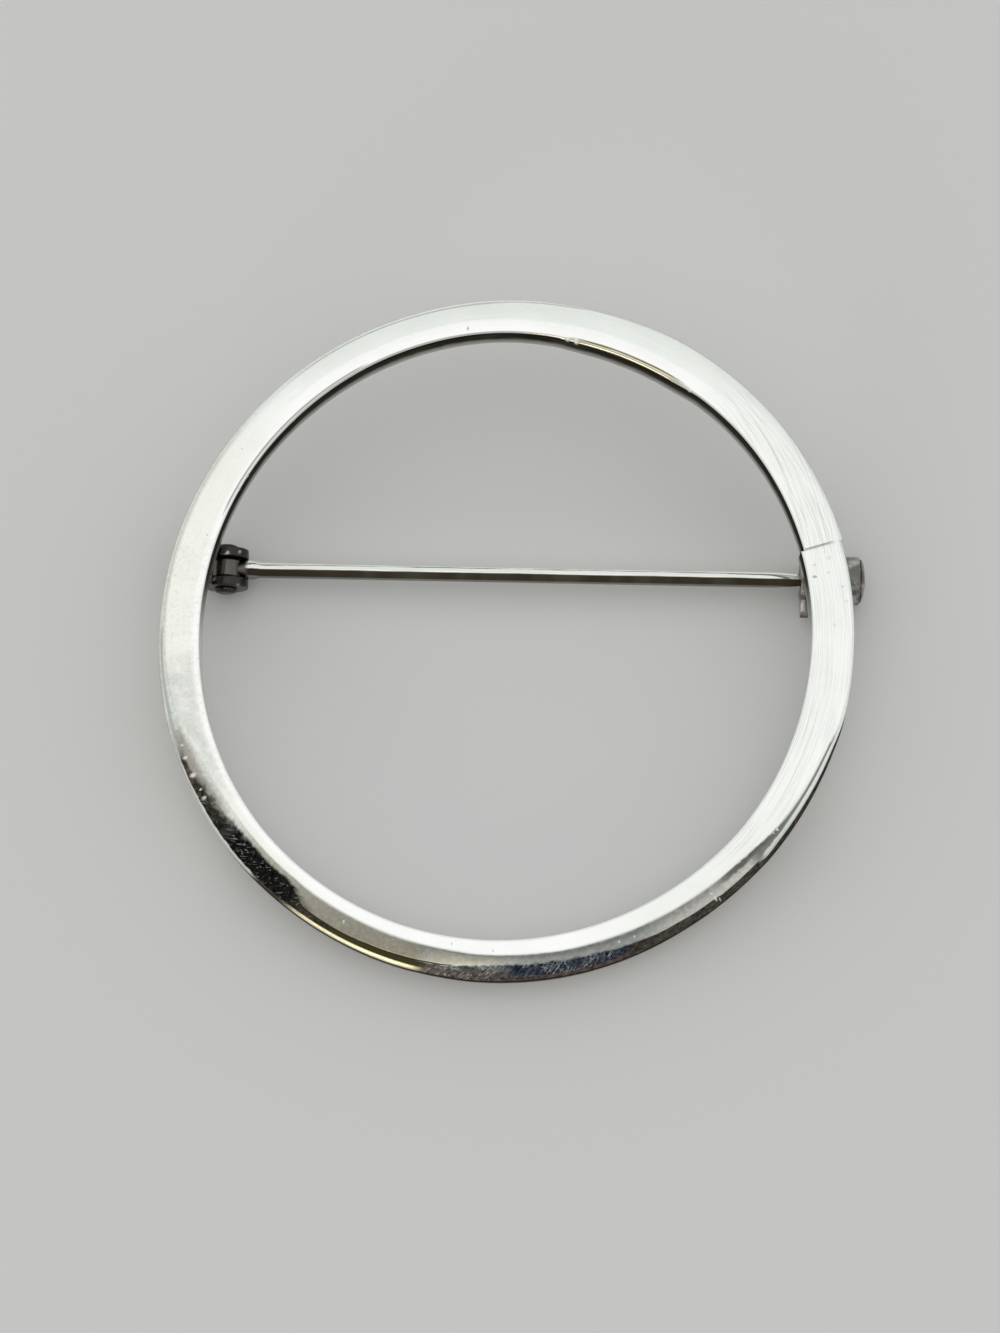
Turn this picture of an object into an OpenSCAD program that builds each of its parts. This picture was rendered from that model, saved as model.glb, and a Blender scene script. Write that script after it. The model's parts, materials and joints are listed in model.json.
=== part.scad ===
/* [Ring] */
// Outside radius of the ring
ring_r = 20; // [18:0.5:24]
// Radius of the round opening
opening_r = 17.7; // [17.4:0.05:17.9]
// How far the opening sits above the ring's centre, which leaves the top of the band narrower
opening_up = 0.14; // [0:0.01:0.4]
// How far the opening sits to the left of the ring's centre
opening_left = 0.11; // [0:0.01:0.2]
// Height of the bar, from the back face to the front face
bar_h = 2.7; // [2.4:0.1:3.2]
// Rounding of the bar's four long edges
edge_r = 0.35; // [0.25:0.05:0.5]

/* [Worn shoulder] */
// Widest part of the worn shoulder, across the band
worn_w = 1.3; // [0.8:0.05:1.4]
// Slope of the worn shoulder below the front face, in degrees
worn_slope = 35; // [25:1:40]
// Direction in which the shoulder is widest, in degrees from the right
worn_widest = -85; // [-95:1:-75]
// Half of the turn after which the shoulder has faded out, in degrees
worn_half_turn = 76; // [70:1:80]
// Direction of the sudden start of the shoulder, in degrees from the right
worn_start = -41; // [-50:1:-30]

/* [Seam] */
// Direction of the seam where the bar's two ends meet, in degrees from the right
seam_at = 16; // [12:1:22]
// Width of the seam's groove
seam_w = 0.08; // [0.05:0.01:0.15]
// Depth of the seam's groove
seam_d = 0.15; // [0.1:0.01:0.25]
// Share of the band that the groove crosses, from the inner edge
seam_share = 0.8; // [0.5:0.05:0.95]

/* [Pin] */
// Height of the pin's line above the ring's centre
pin_up = 4.3; // [3:0.1:6]
// Drop of the pin's line from left to right, in degrees
pin_slope = 1.1; // [0:0.1:2]
// Depth of the pin's line below the ring's back face
pin_drop = 1.5; // [1.45:0.05:1.7]
// Radius of the pin's wire
pin_r = 0.475; // [0.4:0.025:0.475]
// Length of the tapered point
point_len = 4.6; // [3:0.1:6]
// Radius of the rounded end of the point
tip_r = 0.12; // [0.1:0.01:0.2]
// How far the point ends inside the catch's far end
tip_back = 0.55; // [0.4:0.05:1]
// Length of the collar between the knuckle and the wire
collar_len = 1.1; // [0.8:0.1:1.4]
// Radius of the collar where it leaves the knuckle
collar_r = 0.62; // [0.5:0.01:0.7]

/* [Hinge] */
// Distance of the hinge's axis from the ring's centre line
hinge_out = 16.5; // [16.4:0.1:16.8]
// Radius of the round end of each ear
ear_r = 1.3; // [1.2:0.05:1.4]
// Thickness of each ear
ear_t = 0.55; // [0.45:0.05:0.6]
// Thickness of the joint's base plate
plate_t = 0.45; // [0.4:0.05:0.5]
// Distance from the hinge's axis to the outer end of the base plate
plate_back = 2.6; // [2.2:0.1:2.8]
// Distance from the hinge's axis to the inner end of the base plate, at the ring's inner edge
plate_in = 0.7; // [0.6:0.05:0.8]
// Radius of the pin's knuckle
knuckle_r = 0.9; // [0.8:0.05:0.95]
// Width of the pin's knuckle
knuckle_w = 1.1; // [1:0.1:1.2]
// Radius of the rivet
rivet_r = 0.37; // [0.3:0.01:0.4]
// Radius of the rivet's heads
rivet_head_r = 0.65; // [0.55:0.05:0.8]
// Thickness of the rivet's heads
rivet_head_t = 0.25; // [0.2:0.05:0.3]

/* [Catch] */
// Distance of the housing's inner end from the ring's centre line
catch_in = 17.75; // [17.6:0.05:17.9]
// Length of the housing
catch_len = 2.9; // [2.6:0.1:3.2]
// Radius of the turning barrel inside the housing
barrel_r = 0.95; // [0.9:0.05:1]
// Radius of the hole along the barrel, which takes the pin's point
barrel_bore_r = 0.5; // [0.45:0.01:0.55]
// Width of the slot along the housing
housing_slot = 1.2; // [1.1:0.05:1.3]
// Width of the slot along the barrel
barrel_slot = 1; // [0.9:0.05:1.05]
// Radius of the barrel's collar at the lever's end
lever_collar_r = 1.3; // [1.2:0.05:1.35]
// Thickness of the lever
lever_t = 0.5; // [0.4:0.05:0.55]
// Reach of the lever from the barrel's axis
lever_reach = 2.25; // [2:0.05:2.6]
// Radius of the lever's round end
lever_end_r = 0.4; // [0.3:0.05:0.5]
// Thickness of the barrel's collar at the far end
end_collar_t = 0.3; // [0.2:0.05:0.4]
// Half width of the foot that joins the housing to the ring
foot_half_w = 1.05; // [0.9:0.05:1.2]
// Length of the foot, which ends under the ring's outer edge
foot_len = 1.6; // [1.4:0.05:1.75]

/* [Clearances] */
// Running clearance round the rivet and the barrel
run_gap = 0.05; // [0.03:0.01:0.08]
// Gap between parts that lie side by side
side_gap = 0.05; // [0.03:0.01:0.08]

/* [Hidden] */
$fn = 96;
silver = [0.80, 0.80, 0.78];
steel_grey = [0.72, 0.73, 0.74];
// Small overhang of every cutting shape past the metal that it cuts
over = 0.5;
// How far a soldered foot goes into the solder under the ring
solder = 0.1;

// The shoulder's cutting cone stands off the ring's centre, so its width grows and fades round the ring
worn_shift = worn_w / (1 - cos(worn_half_turn));
worn_edge_r = ring_r + worn_shift * cos(worn_half_turn);
worn_run = 1 / tan(worn_slope);

// Half of the joint's width, over both ears
ear_outer = knuckle_w / 2 + side_gap + ear_t;
// Height and depth of the hinge's axis in the ring's own frame
hinge_y = pin_up + hinge_out * sin(pin_slope);
catch_mid = catch_in + catch_len / 2;
catch_y = pin_up - catch_mid * sin(pin_slope);

// The brooch lies on the south edge of its ring and on the two fittings, which raise its north side.
// The resting angle comes from the hinge's south ear and the rounded edge of the ring.
ear_south = hinge_y - ear_outer + ring_r - edge_r;
ear_depth = pin_drop + ear_r + edge_r;
rest_tilt = atan2(ear_depth, ear_south) - asin(edge_r / norm([ear_south, ear_depth]));
rest_lift = edge_r + (ring_r - edge_r) * sin(rest_tilt) - edge_r * cos(rest_tilt);
// The housing of the catch is as wide as it takes for its slot's edge to reach the same surface
catch_rise = catch_y * sin(rest_tilt) - pin_drop * cos(rest_tilt) + rest_lift;
catch_r = norm([housing_slot / 2, (catch_rise - housing_slot / 2 * sin(rest_tilt)) / cos(rest_tilt)]);

tip_at = catch_in + catch_len - tip_back;
taper_at = tip_at - point_len;
barrel_from = catch_in - side_gap - lever_t;
barrel_to = catch_in + catch_len + side_gap + end_collar_t;

// Places the brooch as it lies on a flat surface at height 0
module lying() translate([0, 0, rest_lift]) rotate([rest_tilt, 0, 0]) children();

// Moves a fitting to the pin's line: its own X runs along the pin, from the hinge to the catch
module on_pin_line() translate([0, pin_up, -pin_drop]) rotate([0, 0, -pin_slope]) children();

// A round bar along X, from one place to another
module bar_x(r, from, to) translate([from, 0, 0]) rotate([0, 90, 0]) cylinder(r = r, h = to - from);

// A round bar along Y, centred on the pin's line
module bar_y(r, w) rotate([90, 0, 0]) cylinder(r = r, h = w, center = true);

// Half section of a solid disc with rounded edges
module disc_section(r, h, e) {
    square([r - e, h]);
    translate([0, e]) square([r, h - 2 * e]);
    for (z = [e, h - e]) translate([r - e, z]) circle(r = e);
}

// Half section of the opening, which flares out at both faces round the rounded inner edges
module opening_section(r, h, e) {
    translate([0, -over]) square([r, h + 2 * over]);
    for (z = [0, h]) translate([r, z]) difference() {
        translate([-over, z == 0 ? -over : -e]) square([e + over, e + over]);
        translate([e, z == 0 ? e : -e]) circle(r = e);
    }
}

// Everything above a cone round a shifted axis, on the side where the shoulder is worn
module worn_cut() {
    low = -bar_h;
    high = over;
    intersection() {
        rotate([0, 0, worn_start]) translate([-2 * ring_r, -4 * ring_r, -over])
            cube([4 * ring_r, 4 * ring_r, bar_h + 2 * over]);
        difference() {
            translate([0, 0, bar_h + low]) cylinder(r = ring_r + over, h = high - low);
            translate([-worn_shift * cos(worn_widest), -worn_shift * sin(worn_widest), bar_h + low])
                cylinder(r1 = worn_edge_r - low * worn_run, r2 = worn_edge_r - high * worn_run, h = high - low);
        }
    }
}

// The groove of the seam, from the inner edge outwards
module seam_cut() {
    band_w = ring_r - opening_r;
    rotate([0, 0, seam_at]) translate([opening_r - over, -seam_w / 2, bar_h - seam_d])
        cube([over + seam_share * band_w, seam_w, seam_d + over]);
}

module band() difference() {
    rotate_extrude() disc_section(ring_r, bar_h, edge_r);
    translate([-opening_left, opening_up, 0]) rotate_extrude() opening_section(opening_r, bar_h, edge_r);
    worn_cut();
    seam_cut();
}

// The joint: a base plate soldered under the left side of the ring, and two round ears that stand in from it
module hinge_joint() on_pin_line() translate([-hinge_out, 0, 0]) difference() {
    union() {
        translate([-plate_back, -ear_outer, pin_drop - plate_t])
            cube([plate_back - plate_in, 2 * ear_outer, plate_t + solder]);
        for (side = [-1, 1]) translate([0, side * (ear_outer - ear_t / 2), 0]) {
            bar_y(ear_r, ear_t);
            translate([-ear_r, -ear_t / 2, 0]) cube([ear_r - plate_in, ear_t, pin_drop]);
        }
    }
    bar_y(rivet_r + run_gap, 2 * ear_outer + 2 * over);
}

// The catch's housing: a slotted tube on a foot, soldered under the right side of the ring
module catch_housing() on_pin_line() difference() {
    union() {
        bar_x(catch_r, catch_in, catch_in + catch_len);
        translate([catch_in, -foot_half_w, 0]) cube([foot_len, 2 * foot_half_w, pin_drop + solder]);
    }
    bar_x(barrel_r + run_gap, catch_in - over, catch_in + catch_len + over);
    translate([catch_in - over, -housing_slot / 2, -catch_r - over])
        cube([catch_len + 2 * over, housing_slot, catch_r + over]);
}

// The ring with the joint and the catch's housing soldered to its back, as one solid
module ring() color(silver) lying() {
    band();
    hinge_joint();
    catch_housing();
}

// The rivet through both ears, with a flat head at each end
module hinge_rivet() color(steel_grey) lying() on_pin_line() translate([-hinge_out, 0, 0]) {
    bar_y(rivet_r, 2 * ear_outer + 2 * side_gap);
    for (side = [-1, 1])
        translate([0, side * (ear_outer + side_gap + rivet_head_t / 2), 0]) bar_y(rivet_head_r, rivet_head_t);
}

// The pin: a drilled knuckle, a short collar, the straight wire and its tapered point
module pin_stem() color(silver) lying() on_pin_line() difference() {
    union() {
        translate([-hinge_out, 0, 0]) bar_y(knuckle_r, knuckle_w);
        translate([-hinge_out, 0, 0]) bar_x(pin_r, 0, hinge_out + taper_at);
        translate([-hinge_out + knuckle_r - side_gap, 0, 0]) rotate([0, 90, 0])
            cylinder(r1 = collar_r, r2 = pin_r, h = collar_len);
        translate([taper_at, 0, 0]) rotate([0, 90, 0]) cylinder(r1 = pin_r, r2 = tip_r, h = point_len);
        translate([tip_at, 0, 0]) sphere(r = tip_r);
    }
    translate([-hinge_out, 0, 0]) bar_y(rivet_r + run_gap, knuckle_w + 2 * over);
}

// The turning barrel of the catch, with its lever towards the ring's centre, shown open
module catch_barrel() color(steel_grey) lying() on_pin_line() difference() {
    union() {
        bar_x(barrel_r, barrel_from, barrel_to);
        bar_x(lever_collar_r, barrel_from, barrel_from + lever_t);
        bar_x(lever_collar_r, barrel_to - end_collar_t, barrel_to);
        translate([barrel_from, lever_end_r - lever_reach, -lever_end_r])
            cube([lever_t, lever_reach - lever_end_r, 2 * lever_end_r]);
        translate([0, lever_end_r - lever_reach, 0]) bar_x(lever_end_r, barrel_from, barrel_from + lever_t);
    }
    bar_x(barrel_bore_r, barrel_from - over, barrel_to - end_collar_t);
    translate([barrel_from - over, -barrel_slot / 2, -lever_collar_r - over])
        cube([barrel_to - end_collar_t - barrel_from + over, barrel_slot, lever_collar_r + over]);
}

ring();
hinge_rivet();
pin_stem();
catch_barrel();
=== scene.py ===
"""The looks of a plain silver circle brooch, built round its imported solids.

The brooch lies on its back: the ring leans on its lower edge and on the two fittings behind it.
Lengths are millimetres in the tables below and become metres in the meshes, where points closer than
MERGE are one.
"""
import json
import logging
import math
from dataclasses import dataclass
from enum import Enum
from typing import Any, Iterable, Mapping, NamedTuple, Sequence

import bmesh
import bpy
import numpy as np
from mathutils import Matrix, Vector


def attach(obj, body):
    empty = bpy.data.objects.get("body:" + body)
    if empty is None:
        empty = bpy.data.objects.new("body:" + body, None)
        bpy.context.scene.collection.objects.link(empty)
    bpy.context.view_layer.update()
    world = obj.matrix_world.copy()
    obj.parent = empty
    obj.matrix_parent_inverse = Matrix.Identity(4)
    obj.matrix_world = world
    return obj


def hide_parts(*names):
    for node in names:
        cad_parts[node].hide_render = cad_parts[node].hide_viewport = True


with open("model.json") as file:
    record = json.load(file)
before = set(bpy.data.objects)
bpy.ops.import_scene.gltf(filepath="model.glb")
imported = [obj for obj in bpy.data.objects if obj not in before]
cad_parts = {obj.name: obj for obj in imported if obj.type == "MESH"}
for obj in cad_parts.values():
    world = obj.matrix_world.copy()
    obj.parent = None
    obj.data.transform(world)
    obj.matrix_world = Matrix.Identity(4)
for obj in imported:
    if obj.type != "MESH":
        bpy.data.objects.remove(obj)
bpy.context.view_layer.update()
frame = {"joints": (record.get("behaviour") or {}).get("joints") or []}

LOG = logging.getLogger("brooch")
MM = 0.001
OPENING_R = 17.7
BAR_W = 2.3
MIDDLE_R = OPENING_R + BAR_W / 2
MERGE = 1e-7
Point = tuple[float, float]
Colour = tuple[float, float, float]


class Body(str, Enum):
    """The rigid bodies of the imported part."""

    RING = "ring"
    PIN = "pin"
    LEVER = "catch_lever"


class Slot(str, Enum):
    """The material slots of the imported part."""

    POLISHED = "polished_silver"
    PIN = "pin_silver"
    FITTING = "fitting_silver"


class RingStation(NamedTuple):
    """One direction round the ring: what the band does there, in degrees and millimetres.

    Directions run anticlockwise from the right, seen from the front. The shoulder is the worn outer front
    edge. It falls in three straight runs, a gentle one, a steep one and a rim, which meet at shares of its
    width.
    """

    deg: float
    inner_more: float
    outer_more: float
    bevel: float
    width: float
    knee: float
    knee_drop: float
    rim: float
    rim_drop: float
    drop: float


RING_STATIONS = tuple(RingStation(*row) for row in (
    (16.03, 0.2, 0.2, 0.03, 0.08, 0.3, 0.02, 0.6, 0.04, 0.06),
    (34.0, 0.25, 0.2, 0.03, 0.1, 0.3, 0.03, 0.5, 0.05, 0.08),
    (51.0, 0.16, 0.14, 0.04, 0.14, 0.3, 0.04, 0.45, 0.06, 0.11),
    (57.0, 0.01, 0.12, 0.28, 0.15, 0.3, 0.05, 0.45, 0.07, 0.12),
    (76.0, -0.09, -0.02, 0.28, 0.19, 0.3, 0.05, 0.44, 0.08, 0.14),
    (81.0, -0.01, -0.07, 0.08, 0.21, 0.3, 0.06, 0.43, 0.08, 0.15),
    (90.0, 0.02, -0.1, 0.06, 0.24, 0.28, 0.06, 0.42, 0.08, 0.16),
    (110.0, -0.08, -0.19, 0.1, 0.26, 0.25, 0.06, 0.36, 0.08, 0.2),
    (137.0, -0.19, -0.18, 0.16, 0.3, 0.22, 0.06, 0.32, 0.09, 0.24),
    (160.0, -0.17, -0.03, 0.08, 0.34, 0.2, 0.06, 0.3, 0.1, 0.28),
    (180.0, -0.1, 0.12, 0.04, 0.38, 0.17, 0.06, 0.27, 0.1, 0.32),
    (190.0, 0.0, 0.19, 0.04, 0.52, 0.16, 0.06, 0.32, 0.11, 0.34),
    (197.0, 0.07, 0.26, 0.04, 1.0, 0.41, 0.07, 0.66, 0.12, 0.38),
    (201.5, 0.11, 0.26, 0.04, 1.32, 0.5, 0.11, 0.83, 0.27, 0.46),
    (206.5, 0.16, 0.24, 0.04, 1.42, 0.42, 0.12, 0.86, 0.42, 0.58),
    (211.0, 0.19, 0.22, 0.04, 1.5, 0.36, 0.12, 0.87, 0.54, 0.68),
    (221.0, 0.24, 0.2, 0.04, 1.54, 0.26, 0.11, 0.89, 0.72, 0.82),
    (229.0, 0.24, 0.14, 0.04, 1.53, 0.26, 0.12, 0.89, 0.76, 0.87),
    (234.0, 0.23, 0.11, 0.04, 1.5, 0.68, 0.42, 0.88, 0.78, 0.9),
    (240.0, 0.22, 0.08, 0.04, 1.5, 0.7, 0.47, 0.87, 0.79, 0.94),
    (250.0, 0.19, 0.04, 0.04, 1.47, 0.64, 0.46, 0.855, 0.83, 0.99),
    (258.0, 0.14, -0.03, 0.04, 1.44, 0.6, 0.45, 0.86, 0.88, 1.06),
    (264.0, 0.1, -0.05, 0.04, 1.39, 0.43, 0.34, 0.83, 0.9, 1.12),
    (270.0, 0.06, -0.09, 0.04, 1.37, 0.36, 0.28, 0.83, 0.9, 1.14),
    (280.0, -0.01, -0.15, 0.04, 1.33, 0.37, 0.28, 0.83, 0.9, 1.15),
    (292.0, -0.08, -0.24, 0.04, 1.26, 0.53, 0.38, 0.79, 0.85, 1.18),
    (297.0, -0.1, -0.28, 0.04, 1.2, 0.6, 0.41, 0.74, 0.68, 1.22),
    (303.0, -0.11, -0.31, 0.04, 1.14, 0.64, 0.4, 0.7, 0.53, 1.22),
    (313.7, -0.1, -0.28, 0.04, 1.07, 0.71, 0.39, 0.76, 0.5, 1.2),
    (318.1, -0.08, -0.24, 0.04, 1.0, 0.69, 0.35, 0.75, 0.45, 1.12),
    (318.9, -0.08, -0.22, 0.04, 0.98, 0.57, 0.28, 0.8, 0.33, 0.9),
    (320.7, -0.08, -0.21, 0.04, 0.9, 0.52, 0.22, 0.77, 0.27, 0.8),
    (323.7, -0.09, -0.2, 0.04, 0.76, 0.43, 0.14, 0.68, 0.18, 0.74),
    (333.7, -0.11, -0.13, 0.04, 0.58, 0.34, 0.09, 0.64, 0.12, 0.66),
    (339.7, -0.12, -0.08, 0.04, 0.46, 0.34, 0.07, 0.64, 0.1, 0.42),
    (345.7, -0.12, 0.0, 0.04, 0.2, 0.3, 0.04, 0.6, 0.06, 0.16),
    (358.0, -0.07, 0.0, 0.03, 0.08, 0.3, 0.02, 0.6, 0.04, 0.06),
    (368.0, -0.02, 0.05, 0.03, 0.08, 0.3, 0.02, 0.6, 0.04, 0.06),
    (375.97, 0.01, 0.09, 0.03, 0.08, 0.3, 0.02, 0.6, 0.04, 0.06),
))


class PinStation(NamedTuple):
    """One place along the pin: its distance from the hinge's axis and the wire's radius, in millimetres."""

    along: float
    radius: float


PIN_STATIONS = tuple(PinStation(*row) for row in (
    (0.5, 0.56), (0.95, 0.6), (1.6, 0.58), (2.0, 0.475),
    (3.0, 0.475), (32.0, 0.475), (33.2, 0.4), (34.6, 0.28),
    (36.4, 0.14), (36.62, 0.11), (36.72, 0.04),
))


class Mark(NamedTuple):
    """A small mark on the ring's front.

    It has a direction in degrees, a place across the band from 0 (inner) to 1, and a size and a height in
    millimetres. A raised mark is painted bright as a glint, and a pit, with its height below 0, is dull.
    """

    deg: float
    across: float
    size: float
    height: float


NICKS = (Mark(79.5, 0.0, 0.3, -0.05), Mark(81.2, 0.0, 0.24, -0.04), Mark(64.5, 0.0, 0.24, -0.03))

MARKS = tuple(Mark(*row) for row in (
    (10.7, 0.15, 0.14, -0.026), (12.9, 0.22, 0.12, -0.007), (13.6, 0.62, 0.2, -0.005),
    (11.0, 0.52, 0.13, -0.006), (8.2, 0.8, 0.13, -0.007), (5.6, 0.85, 0.12, -0.006),
    (1.6, 0.5, 0.1, -0.006), (-92.6, 0.26, 0.08, -0.016), (-100.0, 0.2, 0.07, -0.016),
    (161.5, 0.26, 0.08, -0.012), (144.6, 0.5, 0.08, -0.01), (97.2, 0.24, 0.14, -0.02),
    (-151.4, 0.9, 0.2, 0.04), (-152.9, 0.88, 0.13, 0.03), (-155.6, 0.9, 0.28, 0.05),
    (-158.8, 0.91, 0.22, 0.04), (-160.9, 0.88, 0.15, 0.03), (-163.9, 0.89, 0.17, 0.03),
    (-166.9, 0.89, 0.15, 0.03), (-36.3, 0.62, 0.17, 0.04), (-37.2, 0.6, 0.12, 0.04),
    (-43.2, 0.62, 0.07, 0.03), (-51.5, 0.78, 0.13, 0.05), (-52.1, 0.72, 0.17, 0.05),
    (-52.2, 0.57, 0.16, 0.05), (-67.5, 0.52, 0.12, 0.04), (-70.3, 0.5, 0.12, 0.04),
    (-100.3, 0.93, 0.1, 0.04), (-110.3, 0.47, 0.08, 0.04), (-119.3, 0.58, 0.13, 0.04),
    (151.2, -0.01, 0.14, 0.03), (148.2, -0.01, 0.16, 0.03), (134.5, 0.0, 0.11, 0.03),
    (78.6, 0.01, 0.27, 0.03), (76.9, 0.01, 0.32, 0.03), (57.3, 0.01, 0.14, 0.03),
    (53.6, 0.01, 0.25, 0.03),
))


class StainAndReflection(NamedTuple):
    """A stretch of the worn shoulder painted in one tone: some of it tarnished, most of it painted
    reflection and shade.

    It has a direction, a reach and a fading length in degrees; the runs of the shoulder where it starts, is
    full and ends; how ragged its edges are; its colour; and how much of it small painted glint strokes
    cover.
    """

    deg: float
    half: float
    soft: float
    start: float
    full: float
    end: float
    ragged: float
    colour: Colour
    strokes: float


# Painted light: most rows paint what the shoulder mirrors, not its own colour. The dark navy, olive and
# black rows stand for the shade and dark surroundings it mirrors. The pale rows set the painted tone of
# facets that mirror the sky. The (1.0, 0.95, 0.74) row tints the warm window's reflection gold, as a painted
# highlight colour. The thin near-black row at -114 degrees paints over a highlight at the knee.
STAINS_AND_REFLECTIONS = tuple(StainAndReflection(*row) for row in (
    (98.0, 24.0, 14.0, 0.0, 0.12, 1.6, 0.0, (0.64, 0.64, 0.62), 0.0),
    (-170.0, 14.0, 9.0, 0.0, 0.3, 1.6, 0.3, (0.8, 0.82, 0.78), 0.1),
    (-170.0, 9.0, 4.0, 1.9, 2.1, 2.5, 0.1, (0.55, 0.55, 0.52), 0.0),
    (-122.0, 14.0, 10.0, 0.0, 0.15, 1.05, 0.1, (0.54, 0.515, 0.44), 0.08),
    (-111.0, 14.0, 4.0, 0.96, 1.04, 2.0, 0.0, (0.062, 0.056, 0.028), 0.0),
    (-128.0, 5.0, 4.0, 0.9, 1.02, 2.05, 0.1, (0.045, 0.04, 0.03), 0.15),
    (-130.0, 2.5, 3.5, 0.55, 1.05, 2.05, 0.8, (0.06, 0.056, 0.046), 0.3),
    (-130.0, 5.0, 2.5, 1.85, 1.95, 3.2, 0.1, (0.075, 0.066, 0.052), 0.0),
    (-111.0, 14.0, 6.0, 1.9, 2.02, 3.2, 0.0, (1.0, 0.95, 0.74), 0.0),
    (-156.0, 5.5, 4.5, 0.1, 0.9, 2.15, 0.5, (0.44, 0.41, 0.37), 0.3),
    (-155.0, 3.0, 3.0, 1.25, 1.65, 2.15, 0.5, (0.09, 0.07, 0.055), 0.2),
    (-149.5, 3.5, 3.0, 0.85, 1.4, 2.15, 0.8, (0.034, 0.031, 0.026), 0.3),
    (-137.0, 6.0, 6.0, 0.45, 1.05, 2.15, 0.8, (0.01, 0.01, 0.009), 0.25),
    (-52.0, 14.0, 8.0, 0.0, 0.12, 1.05, 0.1, (0.98, 0.95, 0.9), 0.05),
    (-83.0, 15.0, 8.0, 0.0, 0.2, 1.2, 0.7, (0.62, 0.64, 0.62), 0.42),
    (-96.0, 2.0, 9.0, 0.0, 0.2, 1.1, 0.7, (0.72, 0.73, 0.71), 0.4),
    (-84.0, 17.0, 6.0, 1.8, 2.15, 3.2, 0.1, (0.095, 0.072, 0.072), 0.1),
    (-79.0, 11.0, 5.0, 0.85, 1.15, 2.15, 0.7, (0.016, 0.023, 0.045), 0.5),
    (-96.5, 3.5, 5.0, 0.95, 1.2, 2.15, 0.8, (0.075, 0.085, 0.1), 0.6),
    (-97.5, 5.0, 4.0, 1.4, 1.8, 3.2, 0.5, (0.11, 0.09, 0.085), 0.35),
    (-114.0, 13.0, 2.5, 0.93, 0.98, 1.08, 0.0, (0.03, 0.028, 0.018), 0.0),
    (-55.5, 12.5, 2.0, 1.02, 1.15, 3.2, 0.1, (0.068, 0.063, 0.052), 0.1),
    (-38.5, 2.0, 4.0, 0.1, 0.5, 1.02, 0.7, (0.35, 0.345, 0.325), 0.25),
    (-43.0, 2.5, 6.0, 0.0, 0.08, 0.42, 0.4, (0.33, 0.32, 0.29), 0.2),
    (-28.5, 9.0, 3.5, 0.1, 0.3, 0.9, 0.1, (0.3, 0.3, 0.285), 0.0),
    (-29.0, 12.0, 5.0, 2.0, 2.15, 3.2, 0.1, (0.05, 0.046, 0.04), 0.05),
))


class Value:
    """An output of a node, whose sums and products are Math nodes."""

    def __init__(self, wiring: "Wiring", socket: bpy.types.NodeSocket) -> None:
        """Keeps the output and the wiring of its tree."""
        self.wiring, self.socket = wiring, socket

    def __add__(self, other: Any) -> "Value":
        """This plus the other."""
        return self.wiring.math("ADD", self, other)

    def __sub__(self, other: Any) -> "Value":
        """This less the other."""
        return self.wiring.math("SUBTRACT", self, other)

    def __rsub__(self, other: float) -> "Value":
        """A plain number less this."""
        return self.wiring.math("SUBTRACT", other, self)

    def __mul__(self, other: Any) -> "Value":
        """This times the other."""
        return self.wiring.math("MULTIPLY", self, other)

    def __truediv__(self, other: Any) -> "Value":
        """This over the other."""
        return self.wiring.math("DIVIDE", self, other)

    def step(self, low: Any, high: Any) -> "Value":
        """Rises smoothly from 0 to 1.

        Args:
            low: Where the rise starts.
            high: Where the rise ends, which may be below low.

        Returns:
            The rise, from 0 to 1.
        """
        return self.wiring.out("ShaderNodeMapRange", {"Value": self, "From Min": low, "From Max": high},
                               interpolation_type="SMOOTHSTEP")


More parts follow.
